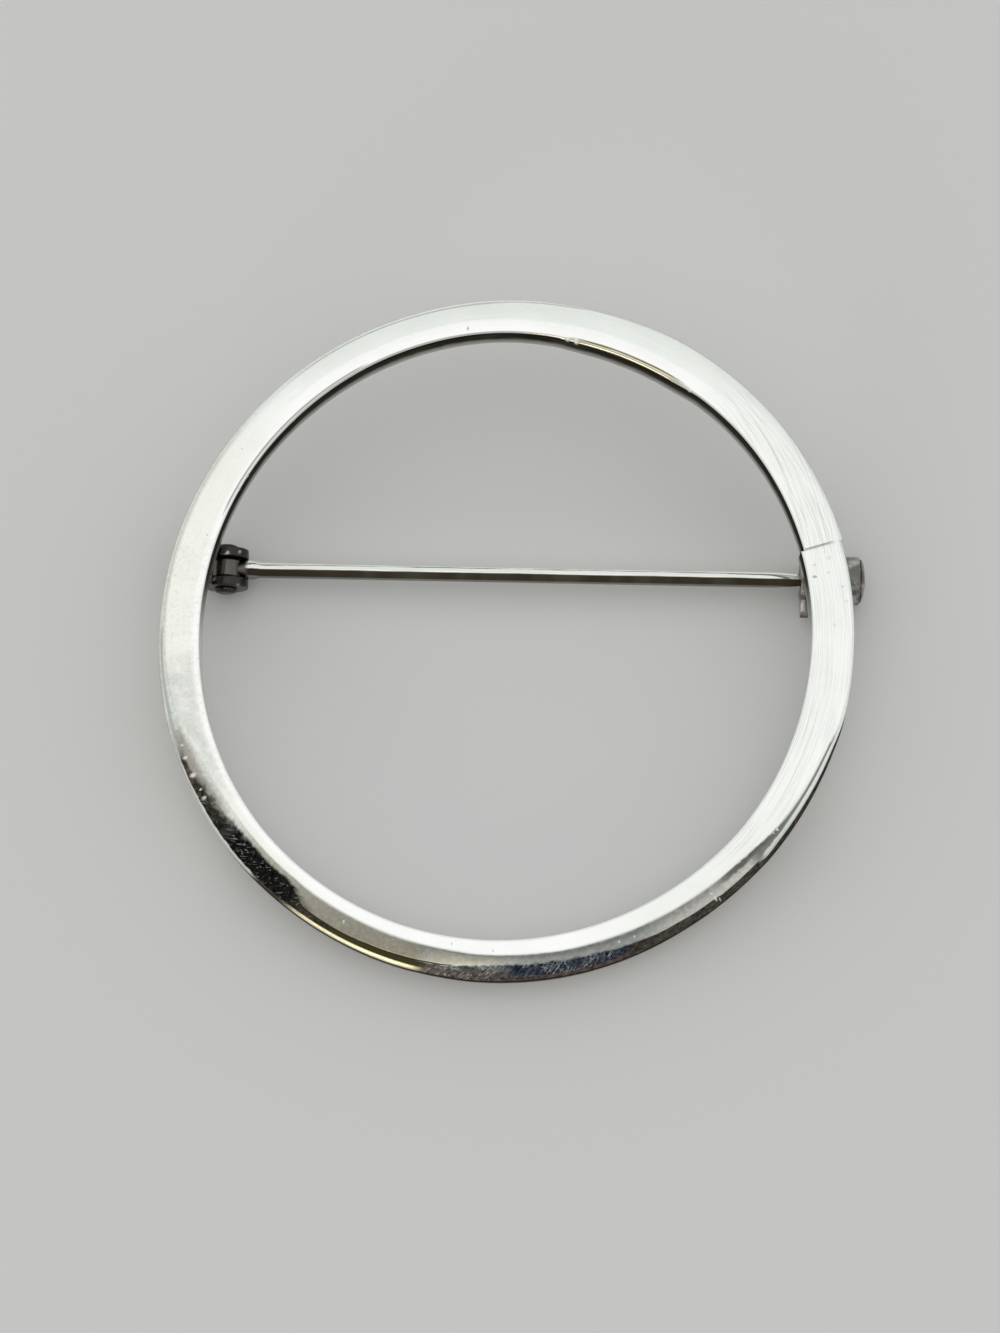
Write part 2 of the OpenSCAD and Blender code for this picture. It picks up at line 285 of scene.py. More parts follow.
class Wiring:
    """Adds nodes to one tree and joins them."""

    def __init__(self, tree: bpy.types.NodeTree) -> None:
        """Keeps the tree that the nodes go into."""
        self.tree = tree

    def feed(self, socket: bpy.types.NodeSocket, value: Any) -> None:
        """Links an input to a node's output, or sets its plain value.

        Args:
            socket: The input.
            value: The output or the plain value.
        """
        if isinstance(value, Value):
            self.tree.links.new(value.socket, socket)
        else:
            socket.default_value = value

    def node(self, kind: str, inputs: Mapping[Any, Any] | None = None, **settings: Any) -> bpy.types.Node:
        """Adds a node.

        Args:
            kind: Blender's name of the node type.
            inputs: Plain values or outputs by the input's name or place.
            settings: The node's own properties.

        Returns:
            The new node.
        """
        node = self.tree.nodes.new(kind)
        for name, value in settings.items():
            setattr(node, name, value)
        for key, value in (inputs or {}).items():
            self.feed(node.inputs[key], value)
        return node

    def out(self, kind: str, inputs: Mapping[Any, Any] | None = None, output: Any = 0,
            **settings: Any) -> Value:
        """Adds a node as above and gives back its output of a name or place."""
        return Value(self, self.node(kind, inputs, **settings).outputs[output])

    def values(self, node: bpy.types.Node) -> dict[str, Value]:
        """All outputs of a node by name."""
        return {socket.name: Value(self, socket) for socket in node.outputs}

    def math(self, operation: str, *values: Any, clamp: bool = False) -> Value:
        """A Math node's result, kept from 0 to 1 if clamp is set."""
        return self.out("ShaderNodeMath", dict(enumerate(values)), operation=operation, use_clamp=clamp)

    def vector(self, operation: str, *values: Any) -> Value:
        """A Vector Math node's vector."""
        return self.out("ShaderNodeVectorMath", dict(enumerate(values)), "Vector", operation=operation)

    def scaled(self, vector: Any, factor: Any) -> Value:
        """A vector times a number."""
        return self.out("ShaderNodeVectorMath", {0: vector, "Scale": factor}, "Vector", operation="SCALE")

    def distance(self, first: Any, second: Any) -> Value:
        """The distance from one place to another."""
        return self.out("ShaderNodeVectorMath", {0: first, 1: second}, "Value", operation="DISTANCE")

    def length(self, x: Value, y: Value) -> Value:
        """The length of a flat vector."""
        return self.math("SQRT", x * x + y * y)

    def combine(self, x: Any, y: Any, z: Any) -> Value:
        """A vector from three numbers."""
        return self.out("ShaderNodeCombineXYZ", {"X": x, "Y": y, "Z": z})

    def separate(self, vector: Value) -> tuple[Value, ...]:
        """The three numbers of a vector."""
        return tuple(self.values(self.node("ShaderNodeSeparateXYZ", {0: vector})).values())

    def mix(self, factor: Any, first: Any, second: Any) -> Value:
        """Goes from the first colour to the second as the factor rises from 0 to 1."""
        first, second = (tone if isinstance(tone, Value) else (*tone, 1.0) for tone in (first, second))
        return self.out("ShaderNodeMix", {0: factor, 6: first, 7: second}, 2, data_type="RGBA")

    def column(self, name: str) -> Value:
        """A number that the mesh keeps under a name, in a shader tree."""
        return self.out("ShaderNodeAttribute", output="Fac", attribute_name=name, attribute_type="GEOMETRY")

    def here(self) -> Value:
        """The place on the object, in a shader tree."""
        return self.out("ShaderNodeTexCoord", output="Object")

    def noise(self, place: Any, scale: Any, detail: float = 2.0) -> Value:
        """A Noise texture's value, which swings round 0.5."""
        return self.out("ShaderNodeTexNoise", {"Vector": place, "Scale": scale, "Detail": detail})

    def gloss(self, colour: Value, dull: float = 0.04, bright: float = 0.28) -> Value:
        """The metallic share of silver that is darkened by tarnishing and painted shade, which falls as its
        colour darkens.
        """
        return self.separate(colour)[1].step(dull, bright)

    def curve(self, value: Value, points: Sequence[Point]) -> Value:
        """A Float Curve node's value.

        Args:
            value: The input, from 0 to 1.
            points: The curve's points, each from 0 to 1 both ways.

        Returns:
            The curve's height.
        """
        node = self.node("ShaderNodeFloatCurve", {"Value": value})
        line = node.mapping.curves[0]
        for x, y in points[1:-1]:
            line.points.new(x, y)
        line.points[0].location, line.points[-1].location = points[0], points[-1]
        node.mapping.update()
        return Value(self, node.outputs[0])


def steady_curve(x: np.ndarray, rows_x: Sequence[float], rows_y: Sequence[float]) -> np.ndarray:
    """A smooth line through rows that never overshoots between two of them.

    Args:
        x: Where to read the line.
        rows_x: The rows' places, rising.
        rows_y: The rows' values.

    Returns:
        The line's values at x.
    """
    px, py = np.asarray(rows_x, float), np.asarray(rows_y, float)
    step = np.diff(px)
    slope = np.diff(py) / step
    tangent = np.zeros_like(px)
    weight_a, weight_b = 2 * step[1:] + step[:-1], step[1:] + 2 * step[:-1]
    with np.errstate(divide="ignore", invalid="ignore"):
        blended = (weight_a + weight_b) / (weight_a / slope[:-1] + weight_b / slope[1:])
    tangent[1:-1] = np.where(slope[:-1] * slope[1:] > 0, np.nan_to_num(blended), 0.0)
    k = np.clip(np.searchsorted(px, x) - 1, 0, len(step) - 1)
    t = (x - px[k]) / step[k]
    low, high = tangent[k] * step[k], tangent[k + 1] * step[k]
    return (py[k] * (1 + 2 * t) * (1 - t) ** 2 + low * t * (1 - t) ** 2
            + py[k + 1] * t * t * (3 - 2 * t) + high * t * t * (t - 1))


@dataclass(frozen=True)
class Lying:
    """How the brooch lies: the ring's lean and the line of the pin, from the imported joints."""

    tilt: float
    lift: float
    slope: float
    pin_up: float
    pin_drop: float
    hinge_out: float

    @classmethod
    def from_joints(cls, joints: Iterable[Mapping[str, Any]], pin_drop: float = 1.5 * MM) -> "Lying":
        """Works the lie out from the pin's hinge.

        Args:
            joints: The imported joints.
            pin_drop: Depth of the pin's line below the ring's back, in metres.

        Returns:
            The lie.
        """
        hinge = next(joint for joint in joints if joint["name"] == "pin_swing")
        axis, place = Vector(hinge["axis"]).normalized(), Vector(hinge["pos_m"])
        tilt, slope = math.atan2(axis.z, axis.y), math.asin(axis.x)
        hinge_out = -place.x / math.cos(slope)
        height = (place.y - pin_drop * math.sin(tilt)) / math.cos(tilt)
        lift = place.z - height * math.sin(tilt) + pin_drop * math.cos(tilt)
        return cls(tilt, lift, slope, height - hinge_out * math.sin(slope), pin_drop, hinge_out)

    def ring_matrix(self) -> Matrix:
        """From the ring's own frame, its back face at height 0, to the row frame."""
        return Matrix.Translation((0, 0, self.lift)) @ Matrix.Rotation(self.tilt, 4, "X")

    def pin_matrix(self) -> Matrix:
        """From the pin's line, its X along the pin, to the row frame."""
        line = Matrix.Translation((0, self.pin_up, -self.pin_drop)) @ Matrix.Rotation(-self.slope, 4, "Z")
        return self.ring_matrix() @ line


def axes_swapped(axes: Sequence[int], shift: Sequence[float]) -> Matrix:
    """A matrix whose X, Y and Z are the old axes of three numbers, with a shift."""
    rows = [[*(float(axis == column) for column in range(3)), move] for axis, move in zip(axes, shift)]
    return Matrix([*rows, [0.0, 0.0, 0.0, 1.0]])


def object_from(name: str, mesh: bpy.types.Mesh, matrix: Matrix = Matrix()) -> bpy.types.Object:
    """Makes an object at the origin whose mesh is put in place by a matrix.

    Args:
        name: The object's name.
        mesh: Its mesh.
        matrix: Where the mesh goes.

    Returns:
        The linked object.
    """
    mesh.transform(matrix)
    mesh.name = name
    thing = bpy.data.objects.new(name, mesh)
    bpy.context.scene.collection.objects.link(thing)
    return thing


def mesh_from(shape: bmesh.types.BMesh, name: str, smooth_under: float = 50.0) -> bpy.types.Mesh:
    """Turns a bmesh into a mesh with outward faces and smooth shading over its flat edges.

    Args:
        shape: The bmesh, which is freed.
        name: The mesh's name.
        smooth_under: Edges with a smaller angle, in degrees, are shaded smooth.

    Returns:
        The mesh.
    """
    bmesh.ops.remove_doubles(shape, verts=shape.verts, dist=MERGE)
    bmesh.ops.recalc_face_normals(shape, faces=shape.faces)
    mesh = bpy.data.meshes.new(name)
    shape.to_mesh(mesh)
    shape.free()
    mesh.shade_smooth()
    mesh.set_sharp_from_angle(angle=math.radians(smooth_under))
    return mesh


def evaluated_mesh(thing: bpy.types.Object) -> bpy.types.Mesh:
    """A plain mesh of an object with its modifiers."""
    return bpy.data.meshes.new_from_object(thing.evaluated_get(bpy.context.evaluated_depsgraph_get()))


def extruded(outline: Sequence[Point], low: float, high: float, bevel: float) -> bmesh.types.BMesh:
    """A closed solid along X from an outline across it, with its rims bevelled.

    Args:
        outline: The outline's points as (y, z), in metres.
        low: X of the first end.
        high: X of the other end.
        bevel: Width of the rims' bevel.

    Returns:
        The solid as a bmesh.
    """
    shape = bmesh.new()
    first, last = ([shape.verts.new((x, y, z)) for y, z in outline] for x in (low, high))
    shape.faces.new(first)
    shape.faces.new(last)
    for i, start in enumerate(first):
        j = (i + 1) % len(outline)
        shape.faces.new((start, first[j], last[j], last[i]))
    bmesh.ops.recalc_face_normals(shape, faces=shape.faces)
    rims = [edge for edge in shape.edges if abs(edge.verts[0].co.x - edge.verts[1].co.x) < MERGE]
    bmesh.ops.bevel(shape, geom=rims, offset=bevel, segments=3, profile=0.6, affect="EDGES",
                    clamp_overlap=True)
    return shape


def lathed(profile: Sequence[Point], steps: int) -> bmesh.types.BMesh:
    """A solid turned round Y from a closed profile.

    Args:
        profile: The profile's points as (radius, y), in metres; points on the axis have radius 0.
        steps: Number of steps round the axis.

    Returns:
        The solid as a bmesh.
    """
    shape = bmesh.new()
    rings = []
    for i in range(steps):
        turn = 2 * math.pi * i / steps
        rings.append([shape.verts.new((r * math.cos(turn), y, r * math.sin(turn))) for r, y in profile])
    for ring, after in zip(rings, rings[1:] + rings[:1]):
        for k in range(len(profile)):
            m = (k + 1) % len(profile)
            shape.faces.new((ring[k], ring[m], after[m], after[k]))
    bmesh.ops.remove_doubles(shape, verts=shape.verts, dist=MERGE)
    return shape


def arc(centre: Point, radius: float, start: float, end: float, steps: int) -> list[Point]:
    """Points along an arc.

    Args:
        centre: The arc's centre.
        radius: Its radius.
        start: Its first angle, in degrees.
        end: Its last angle, in degrees.
        steps: Number of steps along it.

    Returns:
        The points, both ends included.
    """
    angles = [math.radians(start + (end - start) * i / steps) for i in range(steps + 1)]
    return [(centre[0] + radius * math.cos(a), centre[1] + radius * math.sin(a)) for a in angles]


def fused(name: str, meshes: Sequence[bpy.types.Mesh], smooth_under: float = 40.0) -> bpy.types.Mesh:
    """Fuses closed meshes into one with no walls inside.

    Args:
        name: The new mesh's name.
        meshes: The meshes, in one frame.
        smooth_under: Edges with a smaller angle, in degrees, are shaded smooth.

    Returns:
        The fused mesh.
    """
    things = [object_from(f"{name}_{i}", mesh) for i, mesh in enumerate(meshes)]
    for other in things[1:]:
        modifier = things[0].modifiers.new("fuse", "BOOLEAN")
        modifier.operation = "UNION"
        modifier.solver = "EXACT"
        modifier.object = other
    result = evaluated_mesh(things[0])
    for thing in things:
        bpy.data.objects.remove(thing)
    result.name = name
    result.shade_smooth()
    result.set_sharp_from_angle(angle=math.radians(smooth_under))
    return result


def rail_mesh(name: str, points: np.ndarray, closed: bool, **columns: np.ndarray) -> bpy.types.Mesh:
    """A line of points whose columns a node tree can read.

    Args:
        name: The mesh's name.
        points: The points, one row each.
        closed: Whether the line ends where it starts.
        columns: Named numbers, one for each point.

    Returns:
        The mesh.
    """
    mesh = bpy.data.meshes.new(name)
    last = len(points) - 1
    edges = [(i, i + 1) for i in range(last)] + ([(last, 0)] if closed else [])
    mesh.from_pydata([tuple(point) for point in points], edges, [])
    for column, numbers in columns.items():
        attribute = mesh.attributes.new(column, "FLOAT", "POINT")
        attribute.data.foreach_set("value", np.asarray(numbers, np.float32))
    return mesh


class ShapeTree:
    """A Geometry Nodes tree with named inputs, run once on an object and turned into a plain mesh."""

    SOCKETS = {float: "NodeSocketFloat", int: "NodeSocketInt", bpy.types.Material: "NodeSocketMaterial"}

    def __init__(self, name: str, **sizes: Any) -> None:
        """Makes the tree and its inputs.

        Args:
            name: The tree's name.
            sizes: The inputs' values, with _ for each space in a name.
        """
        self.tree = bpy.data.node_groups.new(name, "GeometryNodeTree")
        sockets = self.tree.interface
        sockets.new_socket("Geometry", in_out="INPUT", socket_type="NodeSocketGeometry")
        self.sizes = {}
        for label, value in sizes.items():
            kind = self.SOCKETS[type(value)]
            socket = sockets.new_socket(label.replace("_", " "), in_out="INPUT", socket_type=kind)
            self.sizes[socket.identifier] = value
        sockets.new_socket("Geometry", in_out="OUTPUT", socket_type="NodeSocketGeometry")
        self.wiring = Wiring(self.tree)
        self.given = self.wiring.values(self.wiring.node("NodeGroupInput"))

    def here(self) -> Value:
        """The place of each point."""
        return self.wiring.out("GeometryNodeInputPosition")

    def column(self, name: str, kind: str = "FLOAT") -> Value:
        """Reads a named number or vector of the geometry."""
        return self.wiring.out("GeometryNodeInputNamedAttribute", {"Name": name}, "Attribute",
                               data_type=kind)

    def stored(self, shape: Value, name: str, value: Value, kind: str = "FLOAT") -> Value:
        """Keeps a value on the points under a name.

        Args:
            shape: The geometry so far.
            name: The attribute's name.
            value: What to keep.
            kind: Its data type.

        Returns:
            The geometry with the attribute.
        """
        inputs = {"Geometry": shape, "Name": name, "Value": value}
        return self.wiring.out("GeometryNodeStoreNamedAttribute", inputs, data_type=kind, domain="POINT")

    def pushed(self, shape: Value, distance: Value) -> Value:
        """The geometry with its points moved along their normals."""
        offset = self.wiring.scaled(self.wiring.out("GeometryNodeInputNormal"), distance)
        return self.wiring.out("GeometryNodeSetPosition", {"Geometry": shape, "Offset": offset})

    def mesh(self, name: str, shape: Value, rail: bpy.types.Mesh) -> bpy.types.Mesh:
        """Ends the tree with smooth shading, realized instances and the material, and runs it.

        Args:
            name: The result's name.
            shape: The tree's geometry.
            rail: The mesh that the tree reads.

        Returns:
            The plain mesh that comes out.
        """
        wiring = self.wiring
        smooth = wiring.out("GeometryNodeSetShadeSmooth", {"Geometry": shape})
        real = wiring.out("GeometryNodeRealizeInstances", {"Geometry": smooth})
        finish = self.given["Finish"]
        dressed = wiring.out("GeometryNodeSetMaterial", {"Geometry": real, "Material": finish})
        wiring.node("NodeGroupOutput", {"Geometry": dressed})
        thing = object_from(name + "_rail", rail)
        modifier = thing.modifiers.new(self.tree.name, "NODES")
        modifier.node_group = self.tree
        for identifier, value in self.sizes.items():
            modifier[identifier] = value
        result = evaluated_mesh(thing)
        thing.modifiers.remove(modifier)
        bpy.data.objects.remove(thing)
        result.name = name
        return result


def place_piece(piece: bpy.types.Object, body: Body, slot: Slot, finish: bpy.types.Material,
                *nodes: str) -> None:
    """Dresses a piece, ties it to its body and lets it stand for its solids.

    Args:
        piece: The piece.
        body: The body it moves with.
        slot: The record's slot of its finish; not used.
        finish: Its material.
        nodes: The solids that it stands for.
    """
    piece.data.materials.clear()
    piece.data.materials.append(finish)
    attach(piece, body.value)
    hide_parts(*nodes)
    LOG.info("%s: %d faces, rides on %s", piece.name, len(piece.data.polygons), body.value)


@dataclass(frozen=True)
class RingBand:
    """The band of square bar, bent to a ring by hand and worn along its outer front edge."""

    lie: Lying
    finish: bpy.types.Material
    ring_r: float = 20.0 * MM
    opening_r: float = OPENING_R * MM
    opening_up: float = 0.14 * MM
    opening_left: float = 0.11 * MM
    bar_w: float = BAR_W * MM
    bar_h: float = 2.7 * MM
    front_edge_r: float = 0.06 * MM
    back_edge_r: float = 0.35 * MM
    crown: float = 0.06 * MM
    crown_line: tuple[Point, ...] = ((0.0, 0.55), (0.22, 0.0), (0.45, 0.05), (1.0, 1.0))
    bevel_slope: float = 0.3
    seam_depth: float = 0.1 * MM
    waviness: float = 0.006 * MM
    waves: float = 260.0
    step_deg: float = 0.6
    fine_step_deg: float = 0.16
    fine_reach_deg: float = 0.9
    seam_steps_deg: tuple[float, ...] = (0.0, 0.1, 0.3)
    points_across: int = 128
    points_in_corner: int = 5

    def directions(self) -> np.ndarray:
        """Directions of the sections, close together at the seam and at the sudden end of the shoulder.

        Returns:
            Degrees, rising from just past the seam to the turn's end just before it.
        """
        first, last = RING_STATIONS[0].deg, RING_STATIONS[-1].deg
        sudden = min(zip(RING_STATIONS, RING_STATIONS[1:]), key=lambda pair: pair[1].deg - pair[0].deg)
        low, high = sudden[0].deg - self.fine_reach_deg, sudden[1].deg + self.fine_reach_deg
        coarse = np.arange(first + self.step_deg, last, self.step_deg)
        coarse = coarse[(coarse < low) | (coarse > high)]
        fine = np.arange(low, high, self.fine_step_deg)
        steps = np.array(self.seam_steps_deg)
        return np.unique(np.concatenate([coarse, fine, first + steps, last - steps]).round(4))

    def rail(self) -> bpy.types.Mesh:
        """The line of sections with what the table says of each.

        Returns:
            The rail's mesh.
        """
        deg = self.directions()
        turn = np.radians(deg)
        rows = {name: [getattr(row, name) for row in RING_STATIONS] for name in RingStation._fields}
        read = {name: steady_curve(deg, rows["deg"], rows[name]) for name in RingStation._fields[1:]}
        inner = self.opening_r - self.opening_left * np.cos(turn) + self.opening_up * np.sin(turn)
        middle = self.opening_r + self.bar_w / 2
        points = np.stack([middle * np.cos(turn), middle * np.sin(turn), np.zeros_like(turn)], axis=1)
        lengths = {name: read[name] * MM for name in ("bevel", "width", "knee_drop", "rim_drop", "drop")}
        seam = np.zeros_like(deg)
        seam[[0, -1]] = 1.0
        return rail_mesh("ring_rail", points, True, turn=turn, inner=inner + read["inner_more"] * MM,
                         outer=self.ring_r + read["outer_more"] * MM, knee=read["knee"], rim=read["rim"],
                         seam=seam, **lengths)

    def section(self, tree: ShapeTree) -> Value:
        """The bar's section: a rectangle with rounded corners whose points keep their own place.

        Args:
            tree: The tree to build in.

        Returns:
            The section's curve.
        """
        wiring, given = tree.wiring, tree.given
        plain = wiring.out("GeometryNodeCurvePrimitiveQuadrilateral",
                           {"Width": given["Bar Width"], "Height": given["Bar Height"]}, mode="RECTANGLE")
        in_front = wiring.math("GREATER_THAN", wiring.separate(tree.here())[1], 0.0)
        rounding = wiring.out("ShaderNodeMix", {"Factor": in_front, "A": given["Back Rounding"],
                                                "B": given["Front Rounding"]}, data_type="FLOAT")
        filleted = wiring.out("GeometryNodeFilletCurve",
                              {"Curve": plain, "Count": self.points_in_corner, "Radius": rounding},
                              mode="POLY")
        even = wiring.out("GeometryNodeResampleCurve", {"Curve": filleted, "Count": given["Points Across"]},
                          mode="COUNT")
        return tree.stored(even, "section", tree.here(), "FLOAT_VECTOR")

    def shape(self) -> bpy.types.Mesh:
        """Sweeps the section round the rail, then bends it to the table's radii and its worn shoulder.

        Returns:
            The band's mesh in the ring's own frame.
        """
        tree = ShapeTree(
            "Ring band", Bar_Width=self.bar_w, Bar_Height=self.bar_h, Front_Rounding=self.front_edge_r,
            Back_Rounding=self.back_edge_r, Points_Across=self.points_across, Crown=self.crown,
            Bevel_Slope=self.bevel_slope, Seam_Depth=self.seam_depth, Waviness=self.waviness, Seed=4.0,
            Finish=self.finish)
        wiring, given = tree.wiring, tree.given
        rail = wiring.out("GeometryNodeMeshToCurve", {"Mesh": given["Geometry"]})
        swept = wiring.out("GeometryNodeCurveToMesh", {"Curve": rail, "Profile Curve": self.section(tree)})
        across, up, _ = wiring.separate(tree.column("section", "FLOAT_VECTOR"))
        share, level = across / given["Bar Width"] + 0.5, up / given["Bar Height"] + 0.5
        inner, outer, turn = tree.column("inner"), tree.column("outer"), tree.column("turn")
        radius = (outer - inner) * share + inner
        worn = wiring.math("SUBTRACT", 1.0, (outer - radius) / tree.column("width"), clamp=True)
        facet, drop = self.shoulder(tree, worn)
        groove = tree.column("seam") * given["Seam Depth"] * share.step(0.88, 0.5)
        chamfer = wiring.math("MAXIMUM", tree.column("bevel") - (radius - inner), 0.0)
        crown = wiring.curve(share, self.crown_line) * given["Crown"]
        sunk = chamfer * given["Bevel Slope"] + (crown + groove)
        height = level * given["Bar Height"] * (1.0 - drop / given["Bar Height"])
        place = wiring.combine(radius * wiring.math("COSINE", turn), radius * wiring.math("SINE", turn),
                               height - sunk * level.step(0.8, 1.0))
        for name, value in (("facet", facet), ("share", share), ("level", level)):
            swept = tree.stored(swept, name, value)
        bent = wiring.out("GeometryNodeSetPosition", {"Geometry": swept, "Position": place})
        return tree.mesh("ring_band", self.nicked(tree, self.waved(tree, bent)), self.rail())

    def shoulder(self, tree: ShapeTree, worn: Value) -> tuple[Value, Value]:
        """The three runs of the worn shoulder.

        Args:
            tree: The tree to build in.
            worn: The place across the shoulder, from 0 at the face to 1 at the outside.

        Returns:
            The number of runs passed, from 0 to 3, and the drop below the face.
        """
        marks = [0.0, tree.column("knee"), tree.column("rim"), 1.0]
        drops = [0.0, tree.column("knee_drop"), tree.column("rim_drop"), tree.column("drop")]
        facet, fall = 0.0, 0.0
        for low, high, from_drop, to_drop in zip(marks, marks[1:], drops, drops[1:]):
            run = tree.wiring.math("DIVIDE", worn - low, high - low, clamp=True)
            facet, fall = run + facet, run * (to_drop - from_drop) + fall
        return facet, fall

    def waved(self, tree: ShapeTree, shape: Value) -> Value:
        """Adds the slight waviness of a bar that was filed and polished by hand.

        Args:
            tree: The tree to build in.
            shape: The geometry so far.

        Returns:
            The geometry with its points moved.
        """
        inputs = {"Vector": tree.here(), "W": tree.given["Seed"], "Scale": self.waves, "Detail": 1.0}
        noise = tree.wiring.out("ShaderNodeTexNoise", inputs, noise_dimensions="4D")
        return tree.pushed(shape, (noise - 0.5) * tree.given["Waviness"])

    def nicked(self, tree: ShapeTree, shape: Value) -> Value:
        """Presses the nicks into the band's edge.

        Args:
            tree: The tree to build in.
            shape: The geometry so far.

        Returns:
            The geometry with its nicks.
        """
        for nick in NICKS:
            turn, radius = math.radians(nick.deg), self.opening_r + nick.across * self.bar_w
            spot = (radius * math.cos(turn), radius * math.sin(turn), self.bar_h)
            press = tree.wiring.distance(tree.here(), spot).step(nick.size * MM, 0.0)
            shape = tree.pushed(shape, press * (nick.height * MM))
        return shape

    def build(self) -> None:
        """Makes the band and ties it to the ring's body."""
        piece = object_from("ring_band", self.shape(), self.lie.ring_matrix())
        place_piece(piece, Body.RING, Slot.POLISHED, self.finish, "ring")


@dataclass(frozen=True)
class PinStem:
    """The pin: a drilled knuckle, a thicker root and a straight wire drawn out to a point."""

    lie: Lying
    finish: bpy.types.Material
    knuckle_r: float = 0.9 * MM
    knuckle_half: float = 0.55 * MM
    bore_r: float = 0.42 * MM
    edge: float = 0.12 * MM
    steps_around: int = 40
    short_run: float = 5.0
    short_step: float = 0.25
    long_step: float = 1.0

    def wire(self) -> bpy.types.Mesh:
        """Sweeps a circle along the pin's line, as thick as the table says.

        Returns:
            The wire's mesh on the pin's line.
        """
        tree = ShapeTree("Pin wire", Steps_Around=self.steps_around, Finish=self.finish)
        wiring, given = tree.wiring, tree.given
        rail = wiring.out("GeometryNodeMeshToCurve", {"Mesh": given["Geometry"]})
        circle = wiring.out("GeometryNodeCurvePrimitiveCircle",
                            {"Resolution": given["Steps Around"], "Radius": 1.0}, mode="RADIUS")
        swept = wiring.out("GeometryNodeCurveToMesh", {"Curve": rail, "Profile Curve": circle,
                                                       "Scale": tree.column("radius"), "Fill Caps": True})
        rows = [row.along for row in PIN_STATIONS]
        runs = [np.arange(a, b, self.short_step if b - a < self.short_run else self.long_step)
                for a, b in zip(rows, rows[1:])]
        along = np.concatenate([*runs, rows[-1:]])
        radius = steady_curve(along, rows, [row.radius for row in PIN_STATIONS]) * MM
        none = np.zeros_like(along)
        points = np.stack([along * MM - self.lie.hinge_out, none, none], axis=1)
        return tree.mesh("pin_wire", swept, rail_mesh("pin_rail", points, False, radius=radius))

    def build(self) -> None:
        """Makes the pin and ties it to its own body."""
        low, out, half = self.bore_r, self.knuckle_r - self.edge, self.knuckle_half
        profile = [(low, -half), *arc((out, -half + self.edge), self.edge, -90, 0, steps=4),
                   *arc((out, half - self.edge), self.edge, 0, 90, steps=4), (low, half)]
        knuckle = mesh_from(lathed(profile, steps=64), "knuckle")
        knuckle.transform(Matrix.Translation((-self.lie.hinge_out, 0, 0)))
        mesh = fused("pin_stem_look", [self.wire(), knuckle])
        piece = object_from("pin_stem_look", mesh, self.lie.pin_matrix())
        place_piece(piece, Body.PIN, Slot.PIN, self.finish, "pin_stem")


@dataclass(frozen=True)
class Hinge:
    """The joint, a base plate under the ring with two round ears, and the rivet through them."""

    lie: Lying
    finish: bpy.types.Material
    ear_r: float = 1.3 * MM
    ear_t: float = 0.55 * MM
    ear_inner: float = 0.6 * MM
    plate_t: float = 0.45 * MM
    plate_back: float = 2.6 * MM
    plate_in: float = 0.7 * MM
    rivet_r: float = 0.37 * MM
    head_r: float = 0.65 * MM
    head_t: float = 0.25 * MM
    head_line: tuple[Point, ...] = ((1.0, 0.0), (1.0, 0.35), (0.92, 0.7), (0.7, 0.92), (0.35, 1.0),
                                    (0.0, 1.0))
    gap: float = 0.05 * MM
    bevel: float = 0.1 * MM

    def ear(self, side: int) -> bpy.types.Mesh:
        """One ear: a round plate with a root that reaches up to the base plate.

        Args:
            side: -1 for the lower ear, 1 for the upper.

        Returns:
            Its mesh on the pin's line.
        """
        meet = math.degrees(math.acos(-self.plate_in / self.ear_r))
        top = self.lie.pin_drop - self.bevel
        around = arc((0.0, 0.0), self.ear_r, meet, -180, steps=48)
        outline = [*around, (-self.ear_r, top), (-self.plate_in, top)]
        shape = extruded(outline, 0.0, self.ear_t, self.bevel)
        start = self.ear_inner if side > 0 else -self.ear_inner - self.ear_t
        shape.transform(axes_swapped((1, 0, 2), (-self.lie.hinge_out, start, 0.0)))
        return mesh_from(shape, "ear")

    def plate(self) -> bpy.types.Mesh:
        """The base plate under the ring.

        Returns:
            Its mesh on the pin's line.
        """
        half, back, front = self.ear_inner + self.ear_t, self.plate_back, self.plate_in
        outline = [(-back, -half), (-front, -half), (-front, half), (-back, half)]
        shape = extruded(outline, self.lie.pin_drop - self.plate_t, self.lie.pin_drop, self.bevel / 2)
        shape.transform(axes_swapped((1, 2, 0), (-self.lie.hinge_out, 0.0, 0.0)))
        return mesh_from(shape, "plate")

    def build(self) -> None:
        """Makes the joint and the rivet and ties both to the ring's body."""
        mesh = fused("hinge_joint", [self.plate(), self.ear(-1), self.ear(1)])
        joint = object_from("hinge_joint", mesh, self.lie.pin_matrix())
        place_piece(joint, Body.RING, Slot.FITTING, self.finish, "ring")
        out = self.ear_inner + self.ear_t + self.gap
        head = [(self.head_r * r, out + self.head_t * y) for r, y in self.head_line]
        half = [(self.rivet_r, 0.0), (self.rivet_r, out), *head]
        shape = lathed([(r, -y) for r, y in reversed(half)] + half, steps=48)
        matrix = self.lie.pin_matrix() @ Matrix.Translation((-self.lie.hinge_out, 0, 0))
        rivet = object_from("hinge_rivet_look", mesh_from(shape, "rivet"), matrix)
        place_piece(rivet, Body.RING, Slot.FITTING, self.finish, "hinge_rivet")


